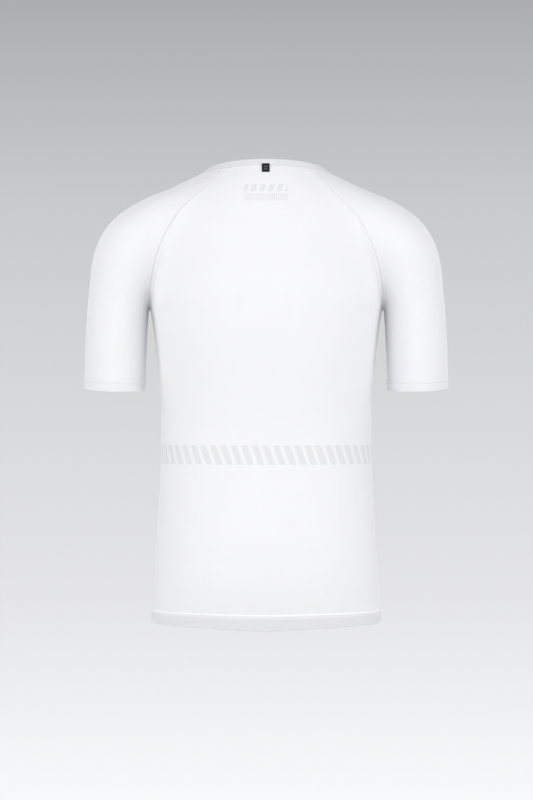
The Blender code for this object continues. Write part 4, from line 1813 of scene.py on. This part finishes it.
@dataclass
class Studio:
    """The camera at the photograph's angle, a pale floor, soft lights and the backdrop's grey."""

    image_height: int = 800
    scale: float = 1.45
    distance: float = 3400.0
    horizon: float = -339.0
    camera_x: float = -0.3
    sensor: float = 36.0
    floor_height: float = -1450.0
    floor_radius: float = 1900.0
    floor_sides: int = 96
    sky: float = 0.5
    ground: float = 0.25
    glow_reach: float = 0.3

    def camera(self) -> None:
        """Sets the level camera behind the wearer, aimed at the middle of the frame."""
        data = bpy.data.cameras.new("Camera")
        data.sensor_width = self.sensor
        data.lens = self.sensor * self.distance / (self.image_height * self.scale)
        camera = bpy.data.objects.new("Camera", data)
        camera.location = (self.camera_x * METRES, self.distance * METRES, self.horizon * METRES)
        camera.rotation_euler = (math.radians(90), 0, math.radians(180))
        bpy.context.scene.collection.objects.link(camera)
        bpy.context.scene.camera = camera

    def floor(self) -> None:
        """Lays a pale round floor where a wearer would stand."""
        turns = np.arange(self.floor_sides) * math.tau / self.floor_sides
        rim = np.stack([np.cos(turns), np.sin(turns), np.zeros(len(turns))], axis=1) * self.floor_radius
        mesh = bpy.data.meshes.new("floor")
        points = (rim + (0, 0, self.floor_height)) * METRES
        mesh.from_pydata(points.tolist(), [], [list(range(len(turns)))])
        mesh.materials.append(FLOOR_PAINT.build())
        place(mesh, "floor")

    def lamp(self, lamp: Lamp, name: str, side: int = 1) -> None:
        """Hangs one light.

        Args:
            lamp: the light.
            name: its name in the scene.
            side: 1 for the wearer's left, -1 for the right.
        """
        data = bpy.data.lights.new(name, "AREA")
        data.size = lamp.size
        data.energy = lamp.power
        made = bpy.data.objects.new(name, data)
        azimuth, height = math.radians(lamp.turn * side), math.radians(lamp.rise)
        level = lamp.reach * math.cos(height)
        up = self.horizon * METRES + lamp.reach * math.sin(height)
        made.location = (level * math.sin(azimuth), level * math.cos(azimuth), up)
        made.rotation_euler = (math.pi / 2 - height, 0, math.pi - azimuth)
        made.visible_camera = False
        bpy.context.scene.collection.objects.link(made)

    def lights(self) -> None:
        """Hangs the lights of both sides, and the high one."""
        for side in Side:
            for lamp in SIDE_LAMPS:
                self.lamp(lamp, f"{lamp.name}_{side.name.lower()}", side.value)
        self.lamp(HIGH_LAMP, HIGH_LAMP.name)

    def backdrop(self) -> None:
        """Sets the surroundings: an even soft light, seen as a backdrop that grows paler downwards."""
        world = bpy.data.worlds.new("Studio")
        world.use_nodes = True
        bpy.context.scene.world = world
        tree = world.node_tree
        way = add_node(tree, "ShaderNodeTexCoord", output="Generated")
        rise = add_node(tree, "ShaderNodeSeparateXYZ", None, way, output="Z")
        reach = math.sin(math.atan(self.image_height * self.scale / 2 / self.distance))
        part = add_node(tree, "ShaderNodeMapRange", None, rise, -reach, reach)
        ramp = add_node(tree, "ShaderNodeValToRGB", None, part)
        elements = ramp.node.color_ramp.elements
        while len(elements) < len(BACKDROP):
            elements.new(0.5)
        for element, (position, colour) in zip(elements, BACKDROP):
            element.position = position
            element.color = linear(colour)
        seen = add_node(tree, "ShaderNodeLightPath", output="Is Camera Ray")
        ends = (-self.glow_reach, self.glow_reach, self.ground, self.sky)
        glow = add_node(tree, "ShaderNodeMapRange", None, rise, *ends)
        tone = add_node(tree, MIX, OF_COLOURS, seen, glow, ramp)
        tree.links.new(tone, tree.nodes["Background"].inputs["Color"])
        bpy.context.scene.view_settings.view_transform = "Standard"

    def build(self) -> None:
        """Sets up everything round the garment."""
        self.camera()
        self.floor()
        self.lights()
        self.backdrop()


# Polyamide knit: matt white, with a soft bloom at grazing angles. A real stitch is about 0.9 mm wide, and it
# is drawn more than twice as wide so that it shows at all at 1.45 mm to a pixel.
BODY_KNIT = KnitFinish(
    name="White polyamide seamless knit",
    colour="#E9E9EB",
    # Painted shade between the stitches
    hollow_shade_colour="#DFDFE2",
    wale=2.2,
    course=1.9,
    relief=0.22,
    roughness=0.72,
    sheen=0.12,
    motifs=(WAIST_BARS, PATCH_BARS, PATCH_RIBS),
)
SLEEVE_KNIT = replace(BODY_KNIT, name="White polyamide sleeve knit", motifs=())

# Ribbed band knit: its columns are wider and deeper than the body's, and it reads darker; its hollows are
# painted darker as shade. The hem's welt has a painted highlight along its top cord, fading below it to the
# band's own tone. The cuffs are the lightest of the bands.
NECK_KNIT = KnitFinish(
    name="White ribbed neckband knit",
    colour="#DFDFE1",
    hollow_shade_colour="#D3D3D6",
    wale=2.6,
    course=1.7,
    relief=0.3,
    roughness=0.8,
    sheen=0.08,
)
HEM_KNIT = replace(
    NECK_KNIT,
    name="White ribbed hem welt knit",
    hollow_shade_colour="#D5D5D8",
    # Painted highlight along the welt's top cord
    ridge_highlight_colour="#F2F2F3",
)
CUFF_KNIT = replace(NECK_KNIT, name="White ribbed cuff knit", colour="#E8E8EA", hollow_shade_colour="#DEDEE1")

# Textured polyester thread: bulky, matt and a touch warmer than the knit. Its fibres are clumped over 0.6 mm.
THREAD = CloudedFinish("White textured sewing thread", "#F1F0EE", "#FFFEFA", 1 / 0.0006, 0.7, sheen=0.2)

# Painted floor: matt and faintly clouded, over a third of a metre
FLOOR_PAINT = CloudedFinish("Pale painted floor", "#E9EAEC", "#EEEFF1", 3.0, 0.8)


def main() -> None:
    """Builds the studio and the garment."""
    logging.basicConfig(level=logging.INFO, format="%(message)s")
    Studio().build()
    form = GarmentForm()
    pattern = Pattern(form, Neckline(form))
    relief = SeamRelief(pattern)
    knits = (BODY_KNIT, SLEEVE_KNIT, NECK_KNIT, HEM_KNIT, CUFF_KNIT)
    finishes = [finish.build() for finish in (*knits, LabelFinish())]
    rings = Garment(pattern, relief, *finishes).build()
    Sewing(pattern, relief, THREAD.build()).build(rings)


if __name__ == "__main__":
    main()
